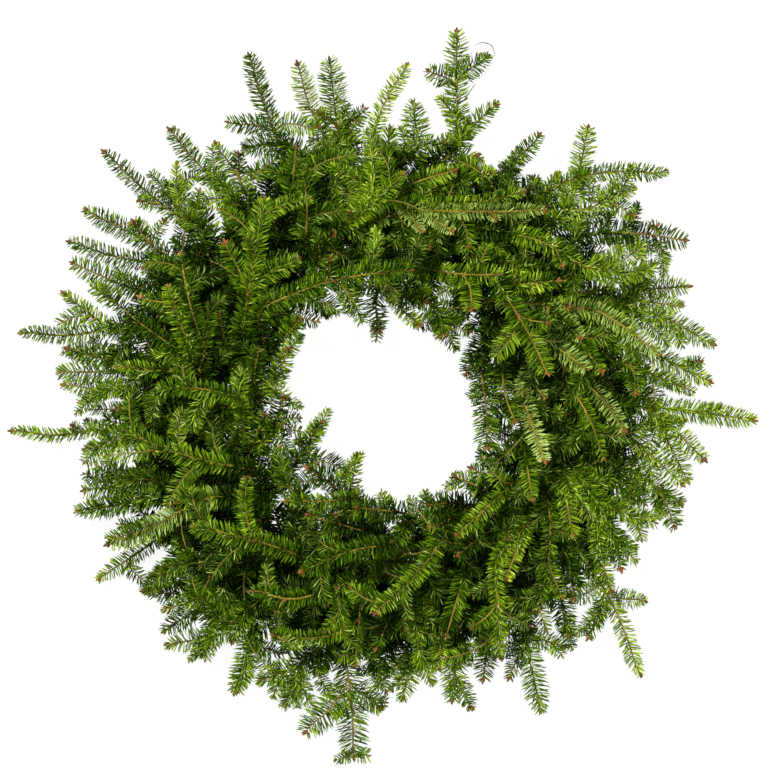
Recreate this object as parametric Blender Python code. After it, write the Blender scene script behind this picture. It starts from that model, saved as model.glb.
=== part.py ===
# Fresh evergreen wreath: bunches of cut fir tied round a flat wire ring.
# Metres, +Z up. It lies on its back, front upwards, and the top of the wreath is +Y.
# The origin is the middle of the underside of the whole outline.

import math
import random
from functools import partial

import bmesh
import bpy
import numpy as np
from mathutils import Vector

# Driving dimensions
OUTER_RAIL = 0.1507
INNER_RAIL = 0.1383
RAIL_WIRE = 0.0040
RAIL_HEIGHT = 0.0050
CROSS_BAR_WIDTH = 0.0050
CROSS_BAR_HEIGHT = 0.0048
BINDING_WIRE = 0.0010
BUNCHES = 20
BAR_EVERY = 4
STEM_AT_TIE = 0.0015
STEM_BELOW_SHOOT = 0.0016
STEM_AT_SHOOT = 0.00145
STEM_AT_TIP = 0.0011
SIDE_STEM = 0.0013
SUNK_STEM = 0.0007
BUD_LENGTH = 0.0045
CUT_END = 0.015
NEEDLE_LENGTH = 0.0150

# Gaps that pieces keep from each other
CLEAR = 0.0004
LEAST_GAP = 0.00025

# The sprays were placed by eye on the photograph: one pixel there is this long on the wreath,
# the ring's centre is at these pixels, and it lies this far from the origin
PIXEL = 0.00082
RING_COLUMN = 381
RING_ROW = 406
RING_X = -0.0006
RING_Y = -0.0085

TIE_STEP = 2 * math.pi / BUNCHES
MID_RADIUS = (OUTER_RAIL + INNER_RAIL) / 2
HALF_GAUGE = (OUTER_RAIL - INNER_RAIL) / 2

# The main stems of one tie lie side by side in rows, and the rest fork from them
ROWS = (2, 1)
MOST_AT_TIE = 11
STEM_PITCH = 0.0023
ROW_HEIGHT = 0.0019
LOWEST_STEM = 0.0069
STEM_PLAY = 0.00006
CHORD_SAG = 0.0002
BUNDLE_TOP = LOWEST_STEM + ROW_HEIGHT * (len(ROWS) - 1) + STEM_AT_TIE

# How far from its tie, along the ring, a spray comes out from under the others, back to front
REACH = (0.030, 0.045, 0.062, 0.080)

# A stem climbs this much for each metre along the ring. It is less steep on the outside of the
# ring and in the hole, it first steps up out of the groove between the rails, and levels off.
STEEPEST = 0.62
EASED_OUTSIDE = 0.32
EASED_INSIDE = 0.16
OUTSIDE = (0.165, 0.290)
INSIDE = (0.100, 0.040)
CLIMB_START = 0.008
CLIMB_END = 0.105
LEVEL_SHARE = 0.22
GROOVE_EDGE = 0.006
GROOVE_STEP = 0.0035
WANDER = 0.003
LOWEST_TIP = 0.006

# Forks of the hidden stems, and of the side shoots
FORK_SHARES = (0.35, 0.55, 0.75)
FORK_LEAST = 0.012
FORK_AHEAD = 0.004
FORK_TURN_COST = 0.6
SIDE_SPACING = 0.025
SIDE_LIFT = 0.006
SIDE_BEND = 0.45

# A stem that would touch another bunch is laid higher or lower, step by step
LIFT_STEP = 0.0015
LIFT_TRIES = 12

# Needle whorls: the stretch of stem that one takes, their spacing, and where they start and end
WHORL = 0.0040
WHORL_STEP = 0.0275
FIRST_WHORL = 0.006
FIRST_SIDE_WHORL = 0.009
LAST_WHORL = WHORL / 2
NEEDLES_PAST_STEM = 0.010

# Needles: the lean in degrees from their stem of a whorl's rear and front ones, the share of them
# that is there, and their half width at shares of their length
WHORL_LEANS = (78, 52)
TIP_LEANS = (66, 40)
NEEDLES_KEPT = 0.55
NEEDLE_SHARES = (0.08, 0.35, 0.7, 1.0)
NEEDLE_RADII = (0.0015, 0.0012, 0.0007, 0.0002)
NEEDLE_TRIES = 8
LOWEST_NEEDLE = 0.0012

# The size of the section that every shoot is drawn along
SECTION = 0.001

# Each spray: name, layer from 0 at the back to 3 in front, pixel where it comes into view,
# pixel of its tip, sideways bow in pixels, and its side shoots as (share along it, tip pixel)
SPRAYS = (
    # Upper left
    ("a1", 1, (200, 230), (103, 151), 4, ((0.40, (133, 200)), (0.15, (163, 182)))),
    ("a2", 1, (215, 178), (168, 128), 3, ()),
    ("b1", 1, (288, 160), (248, 53), -3, ((0.30, (226, 121)), (0.30, (320, 126)))),
    ("b2", 0, (275, 143), (242, 147), 0, ()),
    ("b4", 0, (316, 120), (297, 62), 2, ()),
    ("b5", 1, (346, 185), (329, 57), -3, ((0.50, (316, 110)), (0.50, (362, 116)))),
    ("b6", 2, (247, 198), (214, 141), -3, ((0.35, (238, 146)),)),
    ("b7", 3, (375, 130), (408, 63), 3, ()),
    ("b8", 2, (368, 190), (372, 146), 0, ()),
    ("b9", 1, (385, 165), (391, 128), 0, ()),
    ("b12", 2, (304, 248), (302, 158), -4, ()),
    ("b13", 2, (292, 190), (296, 147), 0, ()),
    # Top and upper right
    ("c1", 1, (460, 140), (457, 29), 2, ((0.56, (425, 68)), (0.56, (489, 54)))),
    ("c4", 1, (462, 135), (497, 103), 0, ()),
    ("c5", 2, (497, 195), (541, 133), 4, ()),
    ("c6", 1, (578, 180), (589, 124), 0, ()),
    ("c7", 3, (455, 205), (528, 192), -3, ()),
    ("c7b", 3, (420, 210), (545, 211), 4, ((0.62, (502, 228)),)),
    ("c8", 2, (535, 197), (667, 171), -6, ()),
    ("c9", 1, (417, 140), (413, 100), 0, ()),
    ("c10", 3, (400, 190), (459, 169), 2, ()),
    ("c11", 3, (382, 196), (405, 173), 0, ()),
    ("c12", 2, (450, 178), (478, 155), 0, ()),
    ("c13", 2, (462, 176), (498, 172), 0, ()),
    ("d2", 2, (596, 206), (635, 188), 0, ((0.30, (640, 220)),)),
    ("d3", 1, (605, 232), (688, 240), 2, ((0.60, (663, 220)), (0.65, (668, 256)))),
    ("d5", 1, (635, 290), (690, 286), 0, ()),
    ("d6", 0, (635, 300), (682, 306), 0, ()),
    ("d7", 2, (575, 240), (581, 212), 0, ()),
    # Left
    ("e1", 1, (175, 262), (84, 209), -3, ((0.30, (130, 217)), (0.30, (165, 218)))),
    ("e2", 1, (150, 262), (67, 241), 3, ()),
    ("e3", 0, (120, 284), (70, 262), 0, ()),
    ("e4", 3, (180, 350), (97, 285), 3, ()),
    ("e5", 1, (110, 330), (63, 293), 0, ()),
    ("e6", 0, (110, 326), (19, 333), 6, ()),
    ("e7", 1, (130, 366), (66, 348), 0, ()),
    ("e8", 0, (112, 372), (57, 372), 0, ()),
    ("e9", 1, (120, 388), (62, 385), 2, ()),
    ("e10", 2, (160, 278), (140, 266), 0, ()),
    ("e11", 3, (205, 345), (180, 251), 3, ()),
    ("e12", 3, (192, 355), (168, 283), 0, ((0.75, (140, 297)),)),
    ("e13", 2, (165, 371), (113, 366), 0, ()),
    ("e14", 3, (230, 395), (150, 388), -4, ()),
    ("f1", 0, (90, 430), (10, 431), -3, ((0.10, (65, 422)),)),
    ("f2", 1, (120, 443), (84, 450), 0, ()),
    ("f3", 2, (150, 412), (118, 409), 0, ()),
    ("f4", 3, (246, 468), (120, 430), 5, ((0.75, (147, 457)),)),
    ("f5", 1, (140, 480), (83, 491), 2, ()),
    ("f6", 1, (147, 498), (76, 511), 2, ()),
    ("f7", 1, (165, 520), (106, 545), 2, ()),
    ("f8", 0, (142, 550), (97, 580), 0, ()),
    ("f9", 1, (190, 596), (145, 592), 0, ()),
    ("f10", 2, (180, 566), (148, 578), 0, ()),
    ("f13", 3, (225, 497), (176, 503), 0, ()),
    # Inner edge on the left and above the hole
    ("g1", 3, (264, 308), (418, 270), 9, ((0.45, (333, 250)), (0.50, (355, 320)))),
    ("g2", 3, (243, 328), (266, 195), 0, ((0.28, (226, 243)), (0.30, (301, 258)))),
    ("g3", 2, (278, 378), (291, 343), 0, ()),
    ("g4", 3, (278, 345), (307, 313), 0, ()),
    ("g5", 2, (278, 415), (288, 388), 0, ()),
    ("g6", 1, (262, 428), (268, 406), 0, ()),
    ("g8", 2, (226, 350), (219, 306), 0, ()),
    ("g9", 3, (320, 248), (342, 229), 0, ()),
    ("g10", 1, (378, 292), (380, 335), -3, ()),
    ("g13", 3, (253, 380), (262, 340), 0, ()),
    ("h1", 3, (405, 208), (426, 238), 0, ()),
    ("h2", 3, (424, 214), (460, 237), 0, ()),
    ("h3", 3, (408, 240), (438, 250), 0, ()),
    ("h4", 2, (446, 244), (477, 248), 0, ()),
    ("h5", 3, (425, 268), (508, 276), -3, ((0.55, (473, 320)),)),
    ("h6", 3, (497, 285), (549, 378), 3, ((0.41, (557, 326)), (0.41, (493, 362)))),
    ("h7", 3, (505, 232), (590, 270), 5, ((0.62, (566, 276)),)),
    ("h8", 3, (520, 285), (560, 281), 0, ()),
    ("h9", 2, (545, 303), (572, 308), 0, ()),
    ("h10", 3, (560, 318), (585, 343), 0, ()),
    ("h11", 3, (553, 345), (591, 373), 0, ()),
    ("h12", 3, (530, 378), (548, 405), 0, ()),
    ("h13", 2, (398, 305), (425, 332), 0, ()),
    ("h14", 2, (410, 288), (432, 308), 0, ()),
    ("h15", 2, (438, 312), (445, 345), 0, ()),
    # Right
    ("h16", 1, (474, 356), (462, 381), 0, ()),
    ("h17", 2, (503, 365), (516, 431), -4, ()),
    ("h18", 3, (523, 400), (545, 464), 0, ()),
    ("h19", 3, (568, 385), (604, 459), 4, ()),
    ("h20", 1, (478, 360), (487, 455), 3, ()),
    ("h21", 3, (580, 380), (627, 434), 4, ()),
    ("i1", 1, (640, 308), (714, 344), 2, ()),
    ("i2", 3, (600, 312), (660, 355), 2, ()),
    ("i3", 3, (582, 345), (605, 378), 0, ()),
    ("i4", 2, (610, 360), (684, 388), 2, ((0.30, (636, 402)),)),
    ("i5", 1, (660, 357), (711, 382), 0, ((0.45, (708, 360)),)),
    ("i6", 1, (680, 410), (756, 420), 0, ()),
    ("i7", 3, (640, 425), (686, 421), 0, ()),
    ("i8", 1, (670, 425), (705, 460), 0, ()),
    ("i9", 1, (665, 435), (688, 482), 0, ()),
    ("i10", 2, (640, 445), (683, 485), 0, ()),
    ("i11", 1, (630, 470), (683, 504), 0, ((0.60, (678, 532)),)),
    ("i12", 2, (603, 503), (641, 520), 0, ()),
    # Lower left and inner edge below the hole
    ("j1", 3, (305, 558), (190, 525), -4, ((0.50, (246, 469)), (0.50, (205, 580)))),
    ("j2", 2, (300, 455), (326, 415), 0, ()),
    ("j3", 2, (350, 495), (357, 452), 0, ()),
    ("j4", 2, (345, 495), (302, 463), 0, ()),
    ("j5", 3, (345, 498), (282, 500), 2, ()),
    ("j6", 3, (370, 533), (303, 512), 0, ((0.50, (330, 505)), (0.50, (315, 540)))),
    ("j8", 3, (385, 545), (300, 571), -5, ()),
    ("j9", 3, (322, 590), (250, 590), 8, ((0.60, (272, 618)),)),
    ("j10", 2, (355, 577), (330, 592), 0, ()),
    ("j14", 2, (345, 603), (325, 632), 0, ()),
    ("j15", 1, (400, 512), (350, 506), 0, ()),
    # Lower right and bottom
    ("k1", 3, (497, 497), (453, 537), 0, ()),
    ("k2", 3, (440, 540), (373, 614), 5, ()),
    ("k3", 2, (484, 533), (450, 560), 0, ()),
    ("k4", 2, (460, 521), (420, 527), 0, ()),
    ("k5", 1, (452, 503), (420, 505), 0, ()),
    ("k6", 0, (490, 492), (452, 475), 0, ()),
    ("k7", 1, (496, 480), (470, 468), 0, ()),
    ("k9", 3, (525, 455), (532, 502), 0, ()),
    ("k10", 2, (513, 500), (507, 546), 0, ()),
    ("k11", 3, (547, 497), (538, 611), 6, ((0.60, (562, 600)),)),
    ("k12", 3, (565, 490), (573, 540), 0, ()),
    ("k13", 3, (464, 575), (446, 636), 0, ()),
    ("k14", 3, (495, 570), (500, 662), 0, ((0.38, (465, 633)), (0.38, (535, 630)))),
    ("k16", 2, (555, 423), (549, 455), 0, ()),
    ("k17", 2, (580, 468), (605, 495), 0, ()),
    ("k18", 2, (520, 540), (503, 585), 0, ()),
    ("l2", 1, (192, 612), (163, 632), 0, ()),
    ("l3", 1, (208, 638), (167, 645), 0, ()),
    ("l4", 1, (212, 622), (200, 658), 0, ()),
    ("l5", 1, (248, 645), (234, 694), 2, ()),
    ("l6", 1, (295, 668), (258, 681), 0, ()),
    ("l7", 1, (302, 662), (287, 700), 0, ()),
    ("l9", 1, (244, 615), (232, 643), 0, ()),
    ("l10", 2, (228, 578), (217, 600), 0, ()),
    ("l12", 1, (322, 645), (315, 675), 0, ()),
    ("l13", 1, (192, 600), (164, 610), 0, ()),
    ("l14", 1, (343, 650), (354, 760), 3, ((0.30, (303, 735)), (0.30, (380, 710)))),
    ("m1", 2, (362, 588), (355, 668), 0, ((0.45, (265, 636)), (0.45, (373, 652)))),
    ("m2", 3, (393, 610), (376, 648), 0, ()),
    ("m3", 3, (420, 575), (428, 630), 0, ()),
    ("m4", 2, (415, 620), (420, 658), 0, ()),
    ("m5", 3, (413, 578), (404, 630), 0, ()),
    ("m6", 1, (415, 655), (402, 700), 0, ()),
    ("m7", 1, (440, 635), (440, 670), 0, ()),
    ("m8", 1, (456, 635), (452, 702), 0, ((0.62, (472, 710)),)),
    ("m9", 1, (488, 648), (483, 682), 0, ()),
    ("m10", 1, (527, 645), (541, 712), 0, ()),
    ("m11", 2, (522, 648), (508, 680), 0, ()),
    ("n1", 2, (577, 550), (641, 675), -2, ((0.37, (585, 644)), (0.37, (650, 603)))),
    ("n2", 3, (590, 513), (637, 562), 0, ()),
    ("n3", 2, (614, 540), (621, 570), 0, ()),
    ("n4", 1, (562, 603), (569, 637), 0, ()),
    ("n5", 1, (530, 636), (567, 648), 0, ()),
    ("n6", 2, (570, 572), (574, 600), 0, ()),
    ("n7", 2, (598, 548), (611, 592), 0, ()),
)


def clear_file():
    """Takes every object out of the open file."""
    for item in list(bpy.data.objects):
        bpy.data.objects.remove(item, do_unlink=True)


def new_collection(name):
    collection = bpy.data.collections.new(name)
    bpy.context.scene.collection.children.link(collection)
    return collection


def finish(name, colour, roughness, metallic=0.0):
    """A plain material for one kind of piece."""
    material = bpy.data.materials.new(name)
    material.use_nodes = True
    shader = material.node_tree.nodes["Principled BSDF"]
    shader.inputs["Base Color"].default_value = (*colour, 1.0)
    shader.inputs["Roughness"].default_value = roughness
    shader.inputs["Metallic"].default_value = metallic
    return material


def add_object(name, mesh, collection):
    item = bpy.data.objects.new(name, mesh)
    collection.objects.link(item)
    return item


def polar(radius, angle, height):
    """A point by its distance from the ring's centre and its clock angle."""
    x = RING_X + radius * math.sin(angle)
    y = RING_Y + radius * math.cos(angle)
    return Vector((x, y, height))


def from_pixel(pixel):
    x = RING_X + (pixel[0] - RING_COLUMN) * PIXEL
    y = RING_Y - (pixel[1] - RING_ROW) * PIXEL
    return Vector((x, y, 0.0))


def ring_place(point):
    """Distance from the ring's centre and clock angle of a point."""
    x = point.x - RING_X
    y = point.y - RING_Y
    return math.hypot(x, y), math.atan2(x, y)


def wrapped(angle):
    return (angle + math.pi) % (2 * math.pi) - math.pi


# Ring and winding


def tube(name, points, radius, collection, cyclic=False, sides_more=0):
    """A closed tube mesh along a polyline, made from a bevelled curve."""
    curve = bpy.data.curves.new(name, "CURVE")
    curve.dimensions = "3D"
    curve.twist_mode = "Z_UP"
    curve.bevel_depth = radius
    curve.bevel_resolution = sides_more
    curve.use_fill_caps = not cyclic
    spline = curve.splines.new("POLY")
    spline.points.add(len(points) - 1)
    for control, point in zip(spline.points, points):
        control.co = (*point, 1.0)
    spline.use_cyclic_u = cyclic
    return as_mesh(add_object(name, curve, collection), collection)


def as_mesh(curve_object, collection):
    """Turns a curve object into a mesh object with its caps welded."""
    name = curve_object.name
    evaluated = curve_object.evaluated_get(bpy.context.evaluated_depsgraph_get())
    mesh = bpy.data.meshes.new_from_object(evaluated)
    work = bmesh.new()
    work.from_mesh(mesh)
    bmesh.ops.remove_doubles(work, verts=work.verts, dist=1e-6)
    bmesh.ops.recalc_face_normals(work, faces=work.faces)
    work.to_mesh(mesh)
    work.free()
    bpy.data.objects.remove(curve_object)
    return add_object(name, mesh, collection)


def joined(name, pieces, collection, solver="EXACT"):
    """One solid from several that overlap, by one union on their collection."""
    others = new_collection(name + "_pieces")
    first = pieces[0]
    for piece in pieces[1:]:
        collection.objects.unlink(piece)
        others.objects.link(piece)
    union = first.modifiers.new("Union", "BOOLEAN")
    union.operation = "UNION"
    union.operand_type = "COLLECTION"
    union.collection = others
    union.solver = solver
    evaluated = first.evaluated_get(bpy.context.evaluated_depsgraph_get())
    mesh = bpy.data.meshes.new_from_object(evaluated)
    for piece in [first, *pieces[1:]]:
        bpy.data.objects.remove(piece)
    bpy.data.collections.remove(others)
    fill_hollows(mesh)
    mesh.name = name
    return add_object(name, mesh, collection)


def fill_hollows(mesh):
    """Keeps only the outer skin: a hollow that the union sealed between stems is filled."""
    work = bmesh.new()
    work.from_mesh(mesh)
    left = set(work.verts)
    skins = []
    while left:
        edge_of_search = [left.pop()]
        skin = set(edge_of_search)
        while edge_of_search:
            vertex = edge_of_search.pop()
            for edge in vertex.link_edges:
                other = edge.other_vert(vertex)
                if other not in skin:
                    skin.add(other)
                    edge_of_search.append(other)
        left -= skin
        skins.append(skin)
    skins.sort(key=len)
    for skin in skins[:-1]:
        bmesh.ops.delete(work, geom=list(skin), context="VERTS")
    work.to_mesh(mesh)
    work.free()


def wire_ring(collection, material):
    """Two round rails with flat cross bars under some of the ties, which it rests on."""
    rail_points = 2 * BUNCHES
    # The rails' corners stand out so far that their straight stretches are true at the ties
    corner_out = 1 / math.cos(math.pi / rail_points)
    pieces = []
    for name, radius in (("outer_rail", OUTER_RAIL), ("inner_rail", INNER_RAIL)):
        points = [
            polar(radius * corner_out, (i + 0.5) * 2 * math.pi / rail_points, RAIL_HEIGHT)
            for i in range(rail_points)
        ]
        pieces.append(tube(name, points, RAIL_WIRE / 2, collection, True, 1))
    for index in range(0, BUNCHES, BAR_EVERY):
        angle = index * TIE_STEP
        mesh = bpy.data.meshes.new("cross_bar")
        work = bmesh.new()
        bmesh.ops.create_cube(work, size=1.0)
        length = OUTER_RAIL - INNER_RAIL + RAIL_WIRE * 0.8
        bmesh.ops.scale(
            work, vec=(CROSS_BAR_WIDTH, length, CROSS_BAR_HEIGHT), verts=work.verts
        )
        work.to_mesh(mesh)
        work.free()
        bar = add_object("cross_bar", mesh, collection)
        bar.location = polar(MID_RADIUS, angle, CROSS_BAR_HEIGHT / 2)
        bar.rotation_euler.z = -angle
        pieces.append(bar)
    bpy.context.view_layer.update()
    ring = joined("wire_ring", pieces, collection)
    ring.data.materials.append(material)
    return ring


def winding_points():
    """The binding wire's path: one turn for each tie, under the rails between ties."""
    side = HALF_GAUGE + RAIL_WIRE / 2 + 1.5 * CLEAR + BINDING_WIRE / 2
    beside = RAIL_HEIGHT + RAIL_WIRE / 5
    under = RAIL_HEIGHT - RAIL_WIRE / 2 - CLEAR - BINDING_WIRE / 2
    over = BUNDLE_TOP + CLEAR + BINDING_WIRE / 2
    shoulder = STEM_PITCH * 1.4
    bend = BINDING_WIRE
    # Share of the step to the next tie, place across the ring, and height
    turn = (
        (-0.04, -shoulder, over),
        (0.04, shoulder, over),
        (0.10, side, beside),
        (0.17, side - bend, under),
        (0.83, bend - side, under),
        (0.90, -side, beside),
    )
    points = []
    for tie in range(BUNCHES):
        for share, across, height in turn:
            points.append(polar(MID_RADIUS + across, (tie + share) * TIE_STEP, height))
    return points[:-1]


# Stems


def bundle_place(index):
    """Place across the ring, and height, of one main stem of a tie."""
    row = 0
    while index >= ROWS[row]:
        index -= ROWS[row]
        row += 1
    across = (index - (ROWS[row] - 1) / 2) * STEM_PITCH
    return across, LOWEST_STEM + row * ROW_HEIGHT


def share_between(value, start, end):
    return min(max((value - start) / (end - start), 0.0), 1.0)


def rise(point, tie):
    """Height that a stem of this tie has gained at a point: bunches lie like shingles."""
    radius, angle = ring_place(point)
    ahead = wrapped(angle - tie * TIE_STEP) * MID_RADIUS
    outside = share_between(radius, *OUTSIDE)
    inside = share_between(radius, *INSIDE)
    slope = STEEPEST - EASED_OUTSIDE * outside - EASED_INSIDE * inside
    climb = max(ahead - CLIMB_START, 0.0)
    steady = min(climb, CLIMB_END) + LEVEL_SHARE * max(climb - CLIMB_END, 0.0)
    out_of_groove = GROOVE_STEP * smooth((ahead - GROOVE_EDGE) / GROOVE_EDGE)
    return out_of_groove + slope * steady


def bezier(p0, p1, p2, p3, share):
    rest = 1 - share
    return (
        p0 * rest**3
        + p1 * 3 * rest**2 * share
        + p2 * 3 * rest * share**2
        + p3 * share**3
    )


def smooth(share):
    share = min(max(share, 0.0), 1.0)
    return share * share * (3 - 2 * share)


def bowed(start, tip, bow, share):
    """A point on the line from start to tip, pushed sideways by the bow."""
    line = tip - start
    side = Vector((-line.y, line.x, 0.0)).normalized()
    return start + line * share + side * bow * PIXEL * 4 * share * (1 - share)


def sort_by_tie():
    """The sprays of each tie, which lies behind where they come into view."""
    tied = [[] for _ in range(BUNCHES)]
    for spray in SPRAYS:
        angle = ring_place(from_pixel(spray[2]))[1] - REACH[spray[1]] / MID_RADIUS
        wanted = angle / TIE_STEP
        near = sorted(range(BUNCHES), key=lambda tie: abs(wrapped((tie - wanted) * TIE_STEP)))
        tie = next(tie for tie in near if len(tied[tie]) < MOST_AT_TIE)
        tied[tie].append(spray)
    return tied


def pick_main(sprays):
    """Splits a tie's sprays into main stems, spread from the hole outwards, and the rest."""
    order = sorted(sprays, key=lambda spray: ring_place(from_pixel(spray[2]))[0])
    count = min(sum(ROWS), len(order))
    chosen = {round(i * (len(order) - 1) / max(count - 1, 1)) for i in range(count)}
    main = [order[i] for i in sorted(chosen)]
    rest = [spray for spray in order if spray not in main]
    return main, rest


class Shoot:
    """One stem with its needles: its centre line, radii, section turns and whorls."""

    def __init__(self, tie, line, radii, turns, whorls):
        self.tie = tie
        self.line = line
        self.radii = radii
        self.turns = turns
        self.whorls = whorls


def stations(length, first):
    """Distances along a shoot of its needle whorls."""
    last = length - LAST_WHORL
    if last - first < WHORL * 2:
        return [last]
    count = max(2, 1 + round((last - first) / WHORL_STEP))
    return [first + (last - first) * i / (count - 1) for i in range(count)]


def along(points):
    """Distance from the first point to each point."""
    total = [0.0]
    for before, after in zip(points, points[1:]):
        total.append(total[-1] + (after - before).length)
    return total


def at_distance(points, total, distance):
    index = 0
    while index < len(total) - 2 and total[index + 1] < distance:
        index += 1
    share = (distance - total[index]) / max(total[index + 1] - total[index], 1e-9)
    return points[index].lerp(points[index + 1], share)


def whorled(tie, head, head_radii, visible, first, radius):
    """A shoot from its plain lower stem and its visible, needled stretch."""
    total = along(visible)
    line = list(head)
    radii = list(head_radii)
    turns = [0.0] * len(head)
    whorls = []
    for number, distance in enumerate(stations(total[-1], first)):
        share = distance / total[-1]
        thick = radius + (STEM_AT_TIP - radius) * share
        whorls.append(at_distance(visible, total, distance))
        for shift in (-WHORL / 2, WHORL / 2):
            line.append(at_distance(visible, total, distance + shift))
            radii.append(thick)
            turns.append(math.radians(60) * (number % 2))
    return Shoot(tie, line, radii, turns, whorls)


def stem_end(start, tip_pixel):
    """Where a shoot's stem ends: its foremost needles reach on to the tip."""
    tip = from_pixel(tip_pixel)
    return tip - (tip - start).normalized() * NEEDLES_PAST_STEM


def lead_in(spray, root, leaving_root, tie, height, parts, lift):
    """A stem's hidden stretch from its root, and its visible stretch, with their heights."""
    start = from_pixel(spray[2])
    tip = stem_end(start, spray[3])
    flat_root = Vector((root.x, root.y, 0.0))
    visible = [bowed(start, tip, spray[4], i / 12) for i in range(13)]
    leaving = (visible[1] - visible[0]).normalized()
    handle = min((start - flat_root).length * 0.4, MID_RADIUS * TIE_STEP)
    ends = (flat_root + leaving_root * handle, start - leaving * handle)
    hidden = [bezier(flat_root, *ends, start, i / parts) for i in range(parts)]
    far = along(hidden + visible)
    for distance, point in zip(far, hidden + visible):
        point.z = height + rise(point, tie) + lift * smooth(distance / far[parts])
    return hidden, visible


def tied_stem(spray, tie, slot, play, lift):
    """A main stem: its cut end, its stretch through the tie, and its way into view."""
    angle = tie * TIE_STEP
    across, height = bundle_place(slot)
    across += play[0] * STEM_PLAY
    height += play[1] * STEM_PLAY
    behind = CUT_END * (1 + play[2] / 8) / MID_RADIUS
    ahead = GROOVE_EDGE / MID_RADIUS
    forward = Vector((math.cos(angle + ahead), -math.sin(angle + ahead), 0.0))
    radius = MID_RADIUS + across + CHORD_SAG
    butt = polar(radius, angle - behind, height)
    leave = polar(radius, angle + ahead, 0.0)
    hidden, visible = lead_in(spray, leave, forward, tie, height, 2, lift)
    thick = STEM_AT_TIE * (1 + 0.05 * play[0])
    return [butt, *hidden], [thick, thick, STEM_BELOW_SHOOT], visible


def forked_stem(spray, tie, parents, lift):
    """A stem that forks from the hidden part of one of the tie's main stems."""
    start = from_pixel(spray[2])
    best = None
    for points in parents:
        total = along(points)
        for share in FORK_SHARES:
            root = at_distance(points, total, share * total[-1])
            ahead = at_distance(points, total, share * total[-1] + FORK_AHEAD)
            leaving = Vector((ahead.x - root.x, ahead.y - root.y, 0.0)).normalized()
            way = Vector((start.x - root.x, start.y - root.y, 0.0))
            turn = 1 - leaving.dot(way.normalized())
            cost = way.length * (1 + FORK_TURN_COST * turn)
            if way.length > FORK_LEAST and (best is None or cost < best[0]):
                best = (cost, root, leaving)
    _, root, leaving = best
    height = root.z - rise(root, tie)
    hidden, visible = lead_in(spray, root, leaving, tie, height, 1, lift)
    return hidden, [SUNK_STEM], visible


def side_stem(parent, length, share, tip_pixel, tie, height):
    """A side shoot's centre line, which starts on its parent's, within this last length."""
    total = along(parent)
    from_root = total[-1] - length * (1 - share)
    root = at_distance(parent, total, from_root)
    leaving = (at_distance(parent, total, from_root + FORK_AHEAD) - root).normalized()
    tip = stem_end(Vector((root.x, root.y, 0.0)), tip_pixel)
    tip.z = root.z
    way = tip - root
    bend = root + (leaving + way.normalized()).normalized() * way.length * SIDE_BEND
    points = []
    for i in range(9):
        part = i / 8
        point = root * (1 - part) ** 2 + bend * 2 * part * (1 - part) + tip * part**2
        climb = rise(point, tie) - rise(root, tie) + height * part * part
        point.z = max(root.z + climb, LOWEST_TIP)
        points.append(point)
    return points


def segment_gaps(a, b, starts, ends):
    """Distance from the segment a-b to each of many segments."""
    d1 = b - a
    d2 = ends - starts
    r = a - starts
    a1 = d1 @ d1
    e = np.einsum("ij,ij->i", d2, d2)
    f = np.einsum("ij,ij->i", d2, r)
    c = r @ d1
    cross = d2 @ d1
    bottom = np.maximum(a1 * e - cross * cross, 1e-18)
    s = np.clip((cross * f - c * e) / bottom, 0.0, 1.0)
    t = (cross * s + f) / e
    t = np.clip(t, 0.0, 1.0)
    s = np.clip((cross * t - c) / a1, 0.0, 1.0)
    near = r + s[:, None] * d1 - t[:, None] * d2
    return np.sqrt(np.einsum("ij,ij->i", near, near))


class Crowd:
    """Everything placed so far, as short thick segments, with their bunch and shoot."""

    def __init__(self):
        self.starts = np.zeros((0, 3))
        self.ends = np.zeros((0, 3))
        self.radii = np.zeros(0)
        self.bunches = np.zeros(0, int)
        self.shoots = np.zeros(0, int)

    def add(self, points, radii, bunch, shoot=-1):
        points = np.array([tuple(point) for point in points])
        self.starts = np.vstack((self.starts, points[:-1]))
        self.ends = np.vstack((self.ends, points[1:]))
        thick = [max(pair) for pair in zip(radii, radii[1:])]
        self.radii = np.append(self.radii, thick)
        self.bunches = np.append(self.bunches, [bunch] * len(thick))
        self.shoots = np.append(self.shoots, [shoot] * len(thick))

    def room(self, points, radii, others):
        """The least gap to those of the others that lie near; below 0 they would cross."""
        points = np.array([tuple(point) for point in points])
        low = points.min(axis=0) - 0.02
        high = points.max(axis=0) + 0.02
        near = others & np.all(
            (np.maximum(self.starts, self.ends) > low)
            & (np.minimum(self.starts, self.ends) < high),
            axis=1,
        )
        if not near.any():
            return 1.0
        starts, ends, thick = self.starts[near], self.ends[near], self.radii[near]
        least = 1.0
        for i in range(len(points) - 1):
            gaps = segment_gaps(points[i], points[i + 1], starts, ends) - thick
            least = min(least, gaps.min() - max(radii[i], radii[i + 1]))
        return least


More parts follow.
